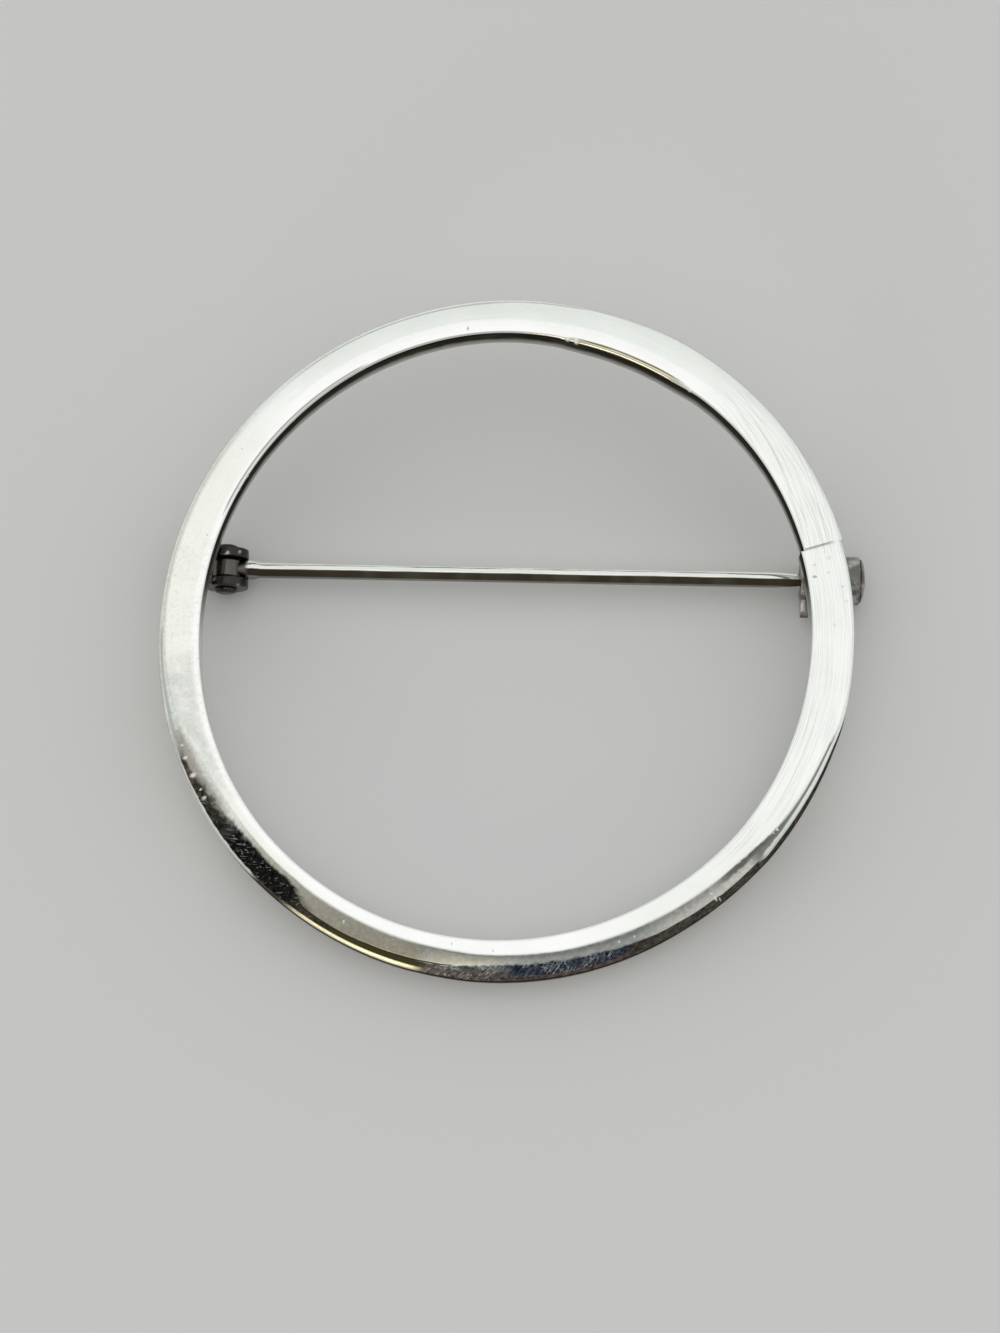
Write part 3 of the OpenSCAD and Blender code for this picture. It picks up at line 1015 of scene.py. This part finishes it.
@dataclass(frozen=True)
class SafetyCatch:
    """The catch: a slotted housing on a foot, and the barrel that turns in it by its lever."""

    lie: Lying
    finish: bpy.types.Material
    inner_end: float = 17.75 * MM
    length: float = 2.9 * MM
    housing_r: float = 1.417 * MM
    housing_bore_r: float = 1.0 * MM
    housing_slot: float = 1.2 * MM
    foot_half: float = 1.05 * MM
    foot_len: float = 1.6 * MM
    barrel_r: float = 0.95 * MM
    bore_r: float = 0.5 * MM
    barrel_slot: float = 1.0 * MM
    slot_share: float = 0.99
    collar_r: float = 1.3 * MM
    lever_t: float = 0.5 * MM
    lever_reach: float = 2.25 * MM
    lever_end_r: float = 0.4 * MM
    cap_t: float = 0.3 * MM
    cap_line: tuple[Point, ...] = ((0.0, 0.0), (0.97, 0.0), (0.99, 0.1), (0.94, 0.32), (0.83, 0.56),
                                   (0.66, 0.77), (0.42, 0.93), (0.0, 1.0))
    gap: float = 0.05 * MM
    bevel: float = 0.07 * MM

    def slotted(self, outer: float, inner: float, slot: float) -> list[Point]:
        """Outline of a tube's section with a slot that opens downwards.

        Args:
            outer: The tube's outside radius.
            inner: Its bore's radius.
            slot: The slot's width.

        Returns:
            The outline's points.
        """
        out_half, in_half = (math.degrees(math.asin(min(1.0, slot / 2 / r))) for r in (outer, inner))
        around = arc((0.0, 0.0), outer, -90 + out_half, 270 - out_half, steps=56)
        return around + arc((0.0, 0.0), inner, 270 - in_half, -90 + in_half, steps=40)

    def housing(self) -> None:
        """Makes the housing, a slotted tube on a foot that is soldered to the ring's back."""
        start, top = self.inner_end, self.lie.pin_drop
        section = self.slotted(self.housing_r, self.housing_bore_r, self.housing_slot)
        tube = extruded(section, start, start + self.length, 2 * self.bevel)
        middle = (self.housing_r + self.housing_bore_r) / 2
        meet = math.degrees(math.acos(self.foot_half / middle))
        sole = arc((0.0, 0.0), middle, meet, 180 - meet, steps=24)
        sole += [(-self.foot_half, top), (self.foot_half, top)]
        foot = extruded(sole, start + self.bevel, start + self.foot_len, self.bevel / 2)
        mesh = fused("catch_housing", [mesh_from(tube, "tube"), mesh_from(foot, "foot")])
        piece = object_from("catch_housing", mesh, self.lie.pin_matrix())
        place_piece(piece, Body.RING, Slot.FITTING, self.finish, "ring")

    def barrel(self) -> None:
        """Makes the turning barrel with its lever and the rounded cap at its far end, open."""
        start = self.inner_end - self.gap - self.lever_t
        end = self.inner_end + self.length + self.gap
        section = self.slotted(self.barrel_r, self.bore_r, self.barrel_slot * self.slot_share)
        tube = extruded(section, start + self.bevel, end + self.cap_t / 4, self.bevel / 2)
        half = math.degrees(math.asin(self.barrel_slot / 2 / self.collar_r))
        root = math.degrees(math.asin(self.lever_end_r / self.collar_r))
        tip = (self.lever_end_r - self.lever_reach, 0.0)
        lever = [*arc((0.0, 0.0), self.collar_r, -90 + half, 180 - root, steps=44),
                 *arc(tip, self.lever_end_r, 90, 270, steps=16),
                 *arc((0.0, 0.0), self.collar_r, 180 + root, 270 - half, steps=8),
                 *arc((0.0, 0.0), self.bore_r, 181, -1, steps=40)]
        collar = extruded(lever, start, start + self.lever_t, self.bevel)
        cap = lathed([(r * self.collar_r, y * self.cap_t) for r, y in self.cap_line], steps=64)
        cap.transform(axes_swapped((1, 0, 2), (end, 0.0, 0.0)))
        parts = [mesh_from(collar, "lever"), mesh_from(tube, "tube"), mesh_from(cap, "end_cap")]
        mesh = fused("catch_barrel_look", parts)
        piece = object_from("catch_barrel_look", mesh, self.lie.pin_matrix())
        place_piece(piece, Body.LEVER, Slot.FITTING, self.finish, "catch_barrel")

    def build(self) -> None:
        """Makes both parts of the catch."""
        self.housing()
        self.barrel()


class EffectGroup:
    """A shader node group with named inputs that gives back masks and values."""

    def __init__(self, name: str, **inputs: float) -> None:
        """Makes the group's tree and inputs.

        Args:
            name: The group's name.
            inputs: For each numeric input its usual value, with _ for each space in a name.
        """
        self.tree = bpy.data.node_groups.new(name, "ShaderNodeTree")
        for label, value in inputs.items():
            label = label.replace("_", " ")
            socket = self.tree.interface.new_socket(label, in_out="INPUT", socket_type="NodeSocketFloat")
            socket.default_value = value
        self.wiring = Wiring(self.tree)
        self.given = self.wiring.values(self.wiring.node("NodeGroupInput"))

    def give(self, **outputs: Value) -> "EffectGroup":
        """Ends the group with its outputs.

        Args:
            outputs: The numeric outputs.

        Returns:
            The group.
        """
        for label in outputs:
            self.tree.interface.new_socket(label, in_out="OUTPUT", socket_type="NodeSocketFloat")
        self.wiring.node("NodeGroupOutput", outputs)
        return self

    def use(self, wiring: Wiring, **inputs: Any) -> dict[str, Value]:
        """Adds the group to a tree.

        Args:
            wiring: The tree's wiring.
            inputs: Values or outputs for its inputs, with _ for each space in a name.

        Returns:
            The group's outputs by name.
        """
        inputs = {label.replace("_", " "): value for label, value in inputs.items()}
        return wiring.values(wiring.node("ShaderNodeGroup", inputs, node_tree=self.tree))


class Effects:
    """The effects that the finishes share, each a node group."""

    def __init__(self, lie: Lying) -> None:
        """Builds the groups.

        Args:
            lie: How the brooch lies.
        """
        self.on_ring = self.place_group("Place on the ring", lie.ring_matrix())
        self.on_pin = self.place_group("Place on the pin", lie.pin_matrix())
        self.zone = self.zone_group()
        self.lines = self.lines_group()
        self.specks = self.specks_group()
        self.strokes = self.strokes_group()

    @staticmethod
    def place_group(name: str, matrix: Matrix) -> EffectGroup:
        """A point's place in a part's own frame, in millimetres, and its radius and direction round Z.

        Args:
            name: The group's name.
            matrix: From the part's own frame to the row frame.

        Returns:
            The group.
        """
        group = EffectGroup(name)
        wiring = group.wiring
        own = wiring.out("ShaderNodeMapping", {"Vector": wiring.here(), "Location": matrix.translation,
                                               "Rotation": matrix.to_euler()}, vector_type="TEXTURE")
        x, y, z = wiring.separate(wiring.scaled(own, 1 / MM))
        radius = wiring.length(x, y)
        turn = wiring.math("ARCTAN2", y, x)
        return group.give(X=x, Y=y, Z=z, Radius=radius, East=x / radius, North=y / radius, Turn=turn)

    @staticmethod
    def zone_group() -> EffectGroup:
        """A mask for the directions round one centre, all in degrees.

        Returns:
            The group.
        """
        group = EffectGroup("Zone", East=1.0, North=0.0, Centre=0.0, Half=20.0, Soft=5.0)
        wiring, given = group.wiring, group.given
        centre = wiring.math("RADIANS", given["Centre"])
        dot = given["North"] * wiring.math("SINE", centre) + given["East"] * wiring.math("COSINE", centre)
        none, full = (wiring.math("COSINE", wiring.math("RADIANS", reach))
                      for reach in (given["Half"] + given["Soft"], given["Half"]))
        return group.give(Mask=dot.step(none, full))

    @staticmethod
    def lines_group() -> EffectGroup:
        """File and polishing lines along circles whose centre may be shifted, from about -1 to 1.

        Returns:
            The group.
        """
        group = EffectGroup("File lines", East=1.0, North=0.0, Radius=20.0, Shift_East=0.0, Shift_North=0.0,
                            Along=5.0, Across=12.0)
        wiring, given = group.wiring, group.given
        east, north = given["East"], given["North"]
        shift = north * given["Shift North"] + east * given["Shift East"]
        place = wiring.combine(east * given["Along"], north * given["Along"],
                               (given["Radius"] - shift) * given["Across"])
        return group.give(Lines=(wiring.noise(place, 1.0, 3.0) - 0.5) * 3.0)

    @staticmethod
    def specks_group() -> EffectGroup:
        """Small ragged specks: their size in millimetres and how much of the surface they cover.

        Returns:
            The group.
        """
        group = EffectGroup("Specks", Size=0.1, Amount=0.3)
        wiring, given = group.wiring, group.given
        scale = wiring.math("DIVIDE", 0.5 / MM, given["Size"])
        low = 0.68 - given["Amount"] * 0.4
        return group.give(Mask=wiring.noise(wiring.here(), scale, 2.5).step(low, low + 0.12))

    @staticmethod
    def strokes_group() -> EffectGroup:
        """Short strokes at an angle to the ring: their length and width in millimetres and how many.

        Returns:
            The group.
        """
        group = EffectGroup("Strokes", Turn=0.0, Radius=20.0, Angle=90.0, Length=0.4, Width=0.08, Amount=0.3)
        wiring, given = group.wiring, group.given
        shoulder_r = 19.0
        along, radius = given["Turn"] * shoulder_r, given["Radius"]
        angle = wiring.math("RADIANS", given["Angle"])
        cosine, sine = wiring.math("COSINE", angle), wiring.math("SINE", angle)
        run, off = along * cosine + radius * sine, radius * cosine - along * sine
        drift = wiring.noise(wiring.combine(along, radius, 0.0), 1.6) * 9.0
        place = wiring.combine(run / given["Length"], off / given["Width"], drift)
        low = 0.7 - given["Amount"] * 0.4
        return group.give(Mask=wiring.noise(place, 0.5).step(low, low + 0.12))


@dataclass(frozen=True)
class SilverFinish:
    """A silver surface: its clean colour and roughness, and how much rougher its dull places are."""

    name: str
    colour: Colour
    roughness: float
    rougher: float

    def material(self, effects: Effects) -> bpy.types.Material:
        """Builds the finish.

        Args:
            effects: The shared effects.

        Returns:
            The material.
        """
        material = bpy.data.materials.new(self.name)
        material.use_nodes = True
        wiring = Wiring(material.node_tree)
        shader = material.node_tree.nodes["Principled BSDF"]
        shader.inputs["Specular IOR Level"].default_value = 0.0
        colour, metallic, roughness, height = self.surface(wiring, effects)
        wiring.feed(shader.inputs["Base Color"], colour)
        wiring.feed(shader.inputs["Metallic"], metallic)
        wiring.feed(shader.inputs["Roughness"], roughness)
        bump = wiring.out("ShaderNodeBump", {"Height": height, "Strength": 1.0, "Distance": MM})
        wiring.feed(shader.inputs["Normal"], bump)
        return material

    def surface(self, wiring: Wiring, effects: Effects) -> tuple[Value, Any, Value, Value]:
        """What each kind of finish works out in its own way.

        Args:
            wiring: The material's wiring.
            effects: The shared effects.

        Returns:
            The surface's colour, metallic share, roughness and height in millimetres.
        """
        raise NotImplementedError


@dataclass(frozen=True)
class FittingFinish(SilverFinish):
    """The fittings' silver, with dark patches that are part tarnishing and part painted shade: their size
    and how much they cover.
    """

    tarnish_and_shade: Colour
    covered: float
    patch: float

    def surface(self, wiring: Wiring, effects: Effects) -> tuple[Value, float, Value, Value]:
        """The fitting's colour, metallic share, roughness and height in millimetres.

        Args:
            wiring: The material's wiring.
            effects: The shared effects; not used.

        Returns:
            The four values.
        """
        here = wiring.here()
        fine = wiring.noise(here, 9 / MM)
        level = 0.75 - 0.5 * self.covered
        # The dark patches are partly tarnishing and partly painted shade, for fittings that lie in shade and
        # mirror dark surroundings.
        mask = wiring.noise(here, 1 / (self.patch * MM), 4.0).step(level - 0.12, level + 0.08)
        rough = (fine - 0.5) * 0.08 + (mask * self.rougher + self.roughness)
        return wiring.mix(mask, self.colour, self.tarnish_and_shade), 1.0, rough, fine * 0.004


@dataclass(frozen=True)
class PinFinish(SilverFinish):
    """Drawn wire, bright above, darker and brownish along its lower side with painted shade and some
    tarnishing, and dark at its knuckle with painted shade.
    """

    tarnish_and_shade: Colour = (0.05, 0.04, 0.028)
    pale_tarnish_and_shade: Colour = (0.070, 0.063, 0.044)
    knuckle: Colour = (0.13, 0.12, 0.11)
    knuckle_end: float = -15.25

    def surface(self, wiring: Wiring, effects: Effects) -> tuple[Value, Value, Value, Value]:
        """The pin's colour, metallic share, roughness and height in millimetres.

        Args:
            wiring: The material's wiring.
            effects: The shared effects.

        Returns:
            The four values.
        """
        place = effects.on_pin.use(wiring)
        x, y, z = (place[name] for name in "XYZ")
        strands = wiring.noise(wiring.combine(x * 0.5, y * 14.0, z * 14.0), 1.0, 3.0)
        # Painted shade: the lower side of the wire is dark and brownish, a little lighter at its very
        # bottom, for the shade and dark surroundings it mirrors.
        side = (strands - 0.5) * 0.08 + y
        shaded_side = side.step(0.02, -0.05) * (1.0 - y.step(-0.38, -0.44) * 0.25)
        pale = wiring.noise(wiring.combine(x, 0.0, 0.0), 0.45).step(0.4, 0.62) * x.step(-13.0, -7.0)
        silver = wiring.scaled(self.colour, (strands - 0.5) * 0.3 + 1.0)
        colour = wiring.mix(shaded_side, silver, wiring.mix(pale, self.tarnish_and_shade, self.pale_tarnish_and_shade))
        # Painted shade: the knuckle is dark where it sits in the hinge's shade.
        dark = x.step(self.knuckle_end + 0.1, self.knuckle_end - 0.2)
        colour = wiring.mix(dark, colour, self.knuckle)
        metallic = wiring.math("MAXIMUM", dark, wiring.gloss(colour))
        rough = wiring.math("MAXIMUM", shaded_side, dark) * self.rougher + self.roughness
        return colour, metallic, rough, strands * 0.006


@dataclass(frozen=True)
class RingFinish(SilverFinish):
    """The ring's silver: a filed and polished face with painted reflections, stains and painted reflections
    on the worn shoulder, and dull walls with painted dark shade.
    """

    left_dim_reflection: Colour = (0.87, 0.88, 0.82)
    right_tint: Colour = (0.87, 0.885, 0.86)
    cool_reflection: Colour = (0.885, 0.905, 0.88)
    shade: Colour = (0.70, 0.72, 0.68)
    gold_highlight: Colour = (1.0, 0.95, 0.80)
    line: Colour = (0.24, 0.19, 0.11)
    wall: Colour = (0.80, 0.79, 0.76)
    wall_shade: Colour = (0.018, 0.016, 0.013)
    wall_shade_streak: Colour = (0.085, 0.074, 0.058)
    fleck_glint: Colour = (1.0, 1.0, 0.98)
    pit: Colour = (0.42, 0.42, 0.41)

    def surface(self, wiring: Wiring, effects: Effects) -> tuple[Value, Value, Value, Value]:
        """The ring's colour, metallic share, roughness and height in millimetres.

        Args:
            wiring: The material's wiring.
            effects: The shared effects.

        Returns:
            The four values.
        """
        paint = RingPaint(wiring, effects)
        marks, height = paint.face_marks()
        across = paint.share.step(0.10, 0.26)
        face = wiring.mix(paint.zone(-12, 45, 25), self.colour, self.right_tint)
        # Painted reflections on the face: the left tint dims the left face away from its inner edge, the
        # cool colour tints the outer half at the top and right, and the shade colour darkens it on the left,
        # a little below.
        face = wiring.mix(across * paint.zone(185, 30, 25), face, self.left_dim_reflection)
        face = wiring.mix(paint.outer_half(), face, self.cool_reflection)
        face = wiring.mix(across * paint.zone(-164, 6, 9) * paint.clouds(1.4), face, self.shade)
        # Painted highlight on the inner bevel at the top right: a gold band for the warm window's reflection
        # at the inner edge, with a dark brownish line just outside it.
        face = wiring.mix(paint.inner_bevel(0.105, 0.13), face, self.line)
        face = wiring.mix(paint.inner_bevel(0.075, 0.09), face, self.gold_highlight)
        colour = wiring.scaled(face, marks + 1.0)
        rough = wiring.math("ABSOLUTE", marks) * 0.6 + self.roughness
        colour, rough = paint.stains_and_reflections(colour, rough)
        raised, sunk, relief = paint.small_marks()
        # Painted glints: raised marks take the near-white glint colour.
        colour = wiring.mix(sunk, wiring.mix(raised, colour, self.fleck_glint), self.pit)
        wall, dark = paint.walls()
        # Painted shade on the walls: the dark wall colour, with lighter streaks, stands for the dark
        # surroundings that the walls mirror.
        tone = wiring.mix(dark, self.wall, wiring.mix(paint.streaks(), self.wall_shade, self.wall_shade_streak))
        colour = wiring.mix(wall * (1.0 - raised), colour, tone)
        rough = paint.level.step(0.99, 0.95) * self.rougher + (raised * 0.25 + rough)
        return colour, wiring.gloss(colour), rough, height + relief


class RingPaint:
    """Masks for everything that marks the ring, painted light and shade among them, in one material.

    The small marks are longer across the band than along it, and run some way down its wall. A raised one is
    a painted glint and covers what lies under it by a fixed share, and a pit covers it by a share that grows
    with its depth. Stains and painted reflections darker than DARK are blotchy, lighter ones nearly even.
    """

    LONGER = 1.5
    DOWN = 1.3
    RAISED_COVER = 0.88
    PIT_COVER = 30.0
    DARK = 0.12
    # Pale colour of the painted glints on specks and strokes in the shoulder's tones.
    STROKE: Colour = (0.72, 0.77, 0.79)

    def __init__(self, wiring: Wiring, effects: Effects) -> None:
        """Reads the place on the ring and what the band's mesh keeps.

        Args:
            wiring: The material's wiring.
            effects: The shared effects.
        """
        self.wiring, self.effects = wiring, effects
        self.place = effects.on_ring.use(wiring)
        self.way = {name: self.place[name] for name in ("East", "North")}
        self.share, self.level, self.facet = (wiring.column(name) for name in ("share", "level", "facet"))
        self.here = wiring.here()
        self.on_top = self.level.step(0.95, 0.98)

    def zone(self, centre: float, half: float, soft: float) -> Value:
        """A mask for one stretch of the ring, in degrees."""
        return self.effects.zone.use(self.wiring, Centre=centre, Half=half, Soft=soft, **self.way)["Mask"]

    def lines(self, **shape: float) -> Value:
        """Lines on the ring, from about -1 to 1."""
        return self.effects.lines.use(self.wiring, Radius=self.place["Radius"], **self.way, **shape)["Lines"]

    def specks(self, size: float, amount: float) -> Value:
        """A mask of specks on the ring."""
        return self.effects.specks.use(self.wiring, Size=size, Amount=amount)["Mask"]

    def strokes(self, amount: float) -> Value:
        """A mask of short thin strokes across the ring."""
        place = {name: self.place[name] for name in ("Turn", "Radius")}
        return self.effects.strokes.use(self.wiring, Angle=136.0, Length=0.36, Width=0.03, Amount=amount,
                                        **place)["Mask"]

    def swing(self, scale: float, detail: float = 2.0) -> Value:
        """A noise round 0 with so many swings to the millimetre."""
        return self.wiring.noise(self.here, scale / MM, detail) - 0.5

    def clouds(self, scale: float) -> Value:
        """A patchy mask, mostly between a half and 1."""
        return self.wiring.noise(self.here, scale / MM, 3.0).step(0.15, 0.6)

    def walls(self) -> tuple[Value, Value]:
        """A mask for the two walls, and one for the dark shade painted on them.

        Returns:
            The two masks; the painted shade lies inside at the top and outside at the bottom.
        """
        high = (self.swing(1.2, 3.0) * 0.14 + self.level).step(-0.1, 0.6)
        inside = self.share.step(0.6, 0.4) * self.zone(90, 78, 14)
        outside = self.share.step(0.4, 0.6) * self.zone(-84, 52, 10)
        return self.level.step(0.995, 0.97), high * self.wiring.math("MAXIMUM", inside, outside)

    def outer_half(self) -> Value:
        """A mask for the outer half of the face, at the top and on the right, where a cool reflection is
        painted.

        Returns:
            The mask.
        """
        place = self.swing(0.35) * 0.12 + self.share
        top = place.step(0.36, 0.46) * self.zone(87, 38, 12) * (place.step(0.6, 0.9) * -0.6 + 1.0)
        right = place.step(0.45, 0.62) * self.zone(-8, 24, 12) * 0.6
        return self.wiring.math("MAXIMUM", top, right) * self.facet.step(0.5, 0.1)

    def inner_bevel(self, low: float, high: float) -> Value:
        """A mask for the wide stretch of the inner bevel, up to a share of the band's width."""
        ragged = self.share + self.lines(Across=22.0, Along=9.0) * 0.02
        return ragged.step(high, low) * self.zone(66.5, 7, 5)

    def face_marks(self) -> tuple[Value, Value]:
        """The lines, grain and clouds of the face.

        Returns:
            What they add to the face's brightness, and their height.
        """
        wiring = self.wiring
        along = self.lines(Across=24.0)
        swept = self.lines(Shift_East=-1.38, Shift_North=2.3, Across=8.0, Along=3.0)
        grain = self.specks(0.1, 0.4)
        filed = wiring.math("MINIMUM", along, 0.15) * (self.zone(0, 26, 30) * 0.22 + 0.02)
        buffed = wiring.math("MINIMUM", swept, 0.1) * self.zone(30, 12, 8) * 0.24
        grainy = grain * (self.zone(187, 16, 14) * 0.05 + 0.012)
        line = self.share.step(0.055, 0.075) * self.share.step(0.125, 0.10) * self.zone(137, 17, 4) * 0.5
        patchy = (1.0 - self.clouds(1.1)) * self.zone(187, 22, 14) * 0.07
        total = filed + buffed - (grainy + line) + self.swing(0.6) * 0.09 - patchy
        return total, grain * -0.0006 + along * 0.0008

    def stains_and_reflections(self, colour: Value, rough: Value) -> tuple[Value, Value]:
        """Lays the table's stains and painted reflections over the shoulder, with painted glints in them,
        and paints shade on the first run of the lower side.

        Args:
            colour: The colour so far.
            rough: The roughness so far.

        Returns:
            The colour and the roughness.
        """
        wiring = self.wiring
        swing, blotchy = self.swing(2.5, 4.0), self.swing(4, 3.0)
        crowded = wiring.noise(self.here, 0.8 / MM).step(0.4, 0.58) * 0.8 + 0.2
        on_shoulder = self.facet.step(0.0, 0.04) * self.on_top
        for shoulder_tone in STAINS_AND_REFLECTIONS:
            ragged = swing * shoulder_tone.ragged + self.facet
            run = ragged.step(shoulder_tone.start, shoulder_tone.full) * ragged.step(shoulder_tone.end + 0.08, shoulder_tone.end - 0.08)
            mask = run * self.zone(shoulder_tone.deg, shoulder_tone.half, shoulder_tone.soft) * on_shoulder
            tone = shoulder_tone.colour
            if shoulder_tone.strokes:
                glint_specks, fine = self.specks(0.09, shoulder_tone.strokes * 0.8), self.strokes(shoulder_tone.strokes)
                swings = 3.2 if max(shoulder_tone.colour) < self.DARK else 0.35
                tone = wiring.scaled(shoulder_tone.colour, blotchy * swings + 1.0)
                # Painted glints: pale specks and strokes laid over the tone.
                for marks, bright in ((glint_specks, 0.28), (fine, 0.45)):
                    tone = wiring.mix(marks * crowded * bright, tone, self.STROKE)
            colour = wiring.mix(mask, colour, tone)
            rough = mask * 0.1 + rough
        # Painted shade: on the lower side the first run of the shoulder darkens next to the face, fading
        # outward.
        painted_edge_shade = self.facet.step(0.0, 0.08) * self.facet.step(0.9, 0.1) * self.zone(-70, 32, 8) * 0.4
        mottle = blotchy * on_shoulder * 0.3
        return wiring.scaled(colour, mottle + 1.0 - painted_edge_shade), rough

    def streaks(self) -> Value:
        """A mask for the lighter streaks in the painted shade along the walls."""
        place = self.wiring.combine(self.place["East"] * 7.0, self.place["North"] * 7.0, self.level * 26.0)
        return self.wiring.noise(place, 1.0, 3.0).step(0.42, 0.72) * self.level.step(1.0, 0.75)

    def small_marks(self) -> tuple[Value, Value, Value]:
        """The table's small marks.

        Returns:
            A mask for the raised ones, a mask for the sunk ones, and their height.
        """
        wiring, place = self.wiring, self.place
        around = MIDDLE_R * self.LONGER
        here = wiring.combine(place["Turn"] * around, place["Radius"], self.level * self.DOWN)
        noise = wiring.out("ShaderNodeTexNoise", {"Vector": here, "Scale": 12.0, "Detail": 3.0}, "Color")
        bent = wiring.scaled(wiring.vector("SUBTRACT", noise, (0.5, 0.5, 0.5)), 0.24)
        here = wiring.vector("ADD", here, bent)
        masks = {True: 0.0, False: 0.0}
        relief = 0.0
        for mark in MARKS:
            spot = (math.radians(mark.deg) * around, OPENING_R + BAR_W * mark.across, self.DOWN)
            mask = wiring.distance(here, spot).step(mark.size, mark.size * 0.3)
            relief = mask * mark.height + relief
            raised = mark.height > 0
            cover = self.RAISED_COVER if raised else min(1.0, -mark.height * self.PIT_COVER)
            masks[raised] = wiring.math("MAXIMUM", mask * cover, masks[raised])
        near_top = self.level.step(0.70, 0.78)
        return masks[True] * near_top, masks[False] * self.on_top, relief * near_top


@dataclass(frozen=True)
class Studio:
    """The pale floor, the soft light and the camera at the photo's angle.

    Each pair of the light says where one of its edges starts and where it is full, in degrees. For the
    window's bottom and top it is the height of the direction, from 0 to 1.
    """

    lie: Lying
    photo_w: float = 1000.0
    photo_h: float = 1333.0
    focal_px: float = 4000.0
    px_per_mm: float = 17.375
    view_tilt: float = math.radians(16.6)
    ring_px: Point = (507.3, 634.0)
    face_height: float = 2.7 * MM
    sensor: float = 36.0
    floor_half: float = 1.5
    floor_colour: Colour = (0.72, 0.705, 0.715)
    floor_roughness: float = 0.8
    sky: Colour = (0.79, 0.82, 0.795)
    dim_sky: Colour = (0.42, 0.42, 0.41)
    sky_edge: Point = (-50.0, -12.0)
    panel: Colour = (1.02, 1.02, 1.01)
    panel_north: Point = (10.7, 9.3)
    panel_south: Point = (-9.0, -5.0)
    panel_side: Point = (30.0, 20.0)
    window: Colour = (3.4, 3.0, 1.8)
    window_deg: float = -111.5
    window_side: Point = (16.0, 10.0)
    window_bottom: Point = (0.06, 0.12)
    window_top: Point = (0.36, 0.30)

    def camera(self) -> None:
        """Sets the camera so that the ring's middle falls where the photo has it."""
        middle = self.lie.ring_matrix() @ Vector((0, 0, self.face_height))
        distance = self.focal_px / self.px_per_mm * MM
        right = Vector((1, 0, 0))
        up = Vector((0, math.cos(self.view_tilt), math.sin(self.view_tilt)))
        back = Vector((0, -math.sin(self.view_tilt), math.cos(self.view_tilt)))
        off_x = (self.ring_px[0] - self.photo_w / 2) / self.px_per_mm * MM
        off_y = (self.photo_h / 2 - self.ring_px[1]) / self.px_per_mm * MM
        data = bpy.data.cameras.new("camera")
        data.sensor_fit = "VERTICAL"
        data.sensor_height = self.sensor
        data.lens = self.focal_px / self.photo_h * self.sensor
        data.clip_start = 0.01
        camera = bpy.data.objects.new("camera", data)
        place = middle - right * off_x - up * off_y + back * distance
        camera.matrix_world = Matrix.Translation(place) @ Matrix((right, up, back)).transposed().to_4x4()
        bpy.context.scene.collection.objects.link(camera)
        bpy.context.scene.camera = camera

    def floor(self) -> None:
        """Lays a plain pale floor under the brooch."""
        mesh = bpy.data.meshes.new("floor")
        half = self.floor_half
        mesh.from_pydata([(-half, -half, 0), (half, -half, 0), (half, half, 0), (-half, half, 0)], [],
                         [(0, 1, 2, 3)])
        floor = object_from("floor", mesh)
        material = bpy.data.materials.new("pale floor")
        material.use_nodes = True
        shader = material.node_tree.nodes["Principled BSDF"]
        shader.inputs["Base Color"].default_value = (*self.floor_colour, 1.0)
        shader.inputs["Roughness"].default_value = self.floor_roughness
        mesh.materials.append(material)

    def light(self) -> None:
        """Lights the brooch with a pale dome, a soft panel overhead and a low warm window."""
        world = bpy.data.worlds.new("soft light")
        world.use_nodes = True
        bpy.context.scene.world = world
        wiring = Wiring(world.node_tree)
        x, y, z = wiring.separate(wiring.out("ShaderNodeTexCoord", output="Generated"))
        north, east = (wiring.math("DEGREES", wiring.math("ARCSINE", side)) for side in (y, x))
        aside = wiring.math("ABSOLUTE", east)
        dome = wiring.mix(north.step(*self.sky_edge), self.dim_sky, self.sky)
        between = north.step(*self.panel_north) * north.step(*self.panel_south)
        dome = wiring.mix(between * aside.step(*self.panel_side), dome, self.panel)
        turn = math.radians(self.window_deg)
        towards = (x * math.cos(turn) + y * math.sin(turn)) / wiring.length(x, y)
        wide, narrow = (math.cos(math.radians(reach)) for reach in self.window_side)
        low = towards.step(wide, narrow) * z.step(*self.window_bottom) * z.step(*self.window_top)
        dome = wiring.mix(low, dome, self.window)
        wiring.feed(world.node_tree.nodes["Background"].inputs["Color"], dome)
        bpy.context.scene.view_settings.view_transform = "Standard"

    def build(self) -> None:
        """Sets up camera, floor and light."""
        self.camera()
        self.floor()
        self.light()


def main() -> None:
    """Builds the studio and every piece of the brooch."""
    lie = Lying.from_joints(frame["joints"])
    LOG.info("the ring leans by %.2f degrees", math.degrees(lie.tilt))
    Studio(lie).build()
    effects = Effects(lie)
    polished = RingFinish("polished silver", (0.955, 0.96, 0.945), roughness=0.13, rougher=0.22)
    drawn = PinFinish("drawn silver wire", (0.93, 0.93, 0.90), roughness=0.13, rougher=0.1)
    fitting = FittingFinish("fitting silver", (0.66, 0.65, 0.62), roughness=0.12, rougher=0.16,
                            tarnish_and_shade=(0.055, 0.051, 0.045), covered=0.78, patch=0.6)
    brighter = FittingFinish("catch silver", (0.46, 0.45, 0.43), roughness=0.18, rougher=0.14,
                             tarnish_and_shade=(0.17, 0.16, 0.145), covered=0.56, patch=0.9)
    RingBand(lie, polished.material(effects)).build()
    PinStem(lie, drawn.material(effects)).build()
    Hinge(lie, fitting.material(effects)).build()
    SafetyCatch(lie, brighter.material(effects)).build()


if __name__ == "__main__":
    logging.basicConfig(level=logging.INFO, format="%(name)s: %(message)s")
    main()
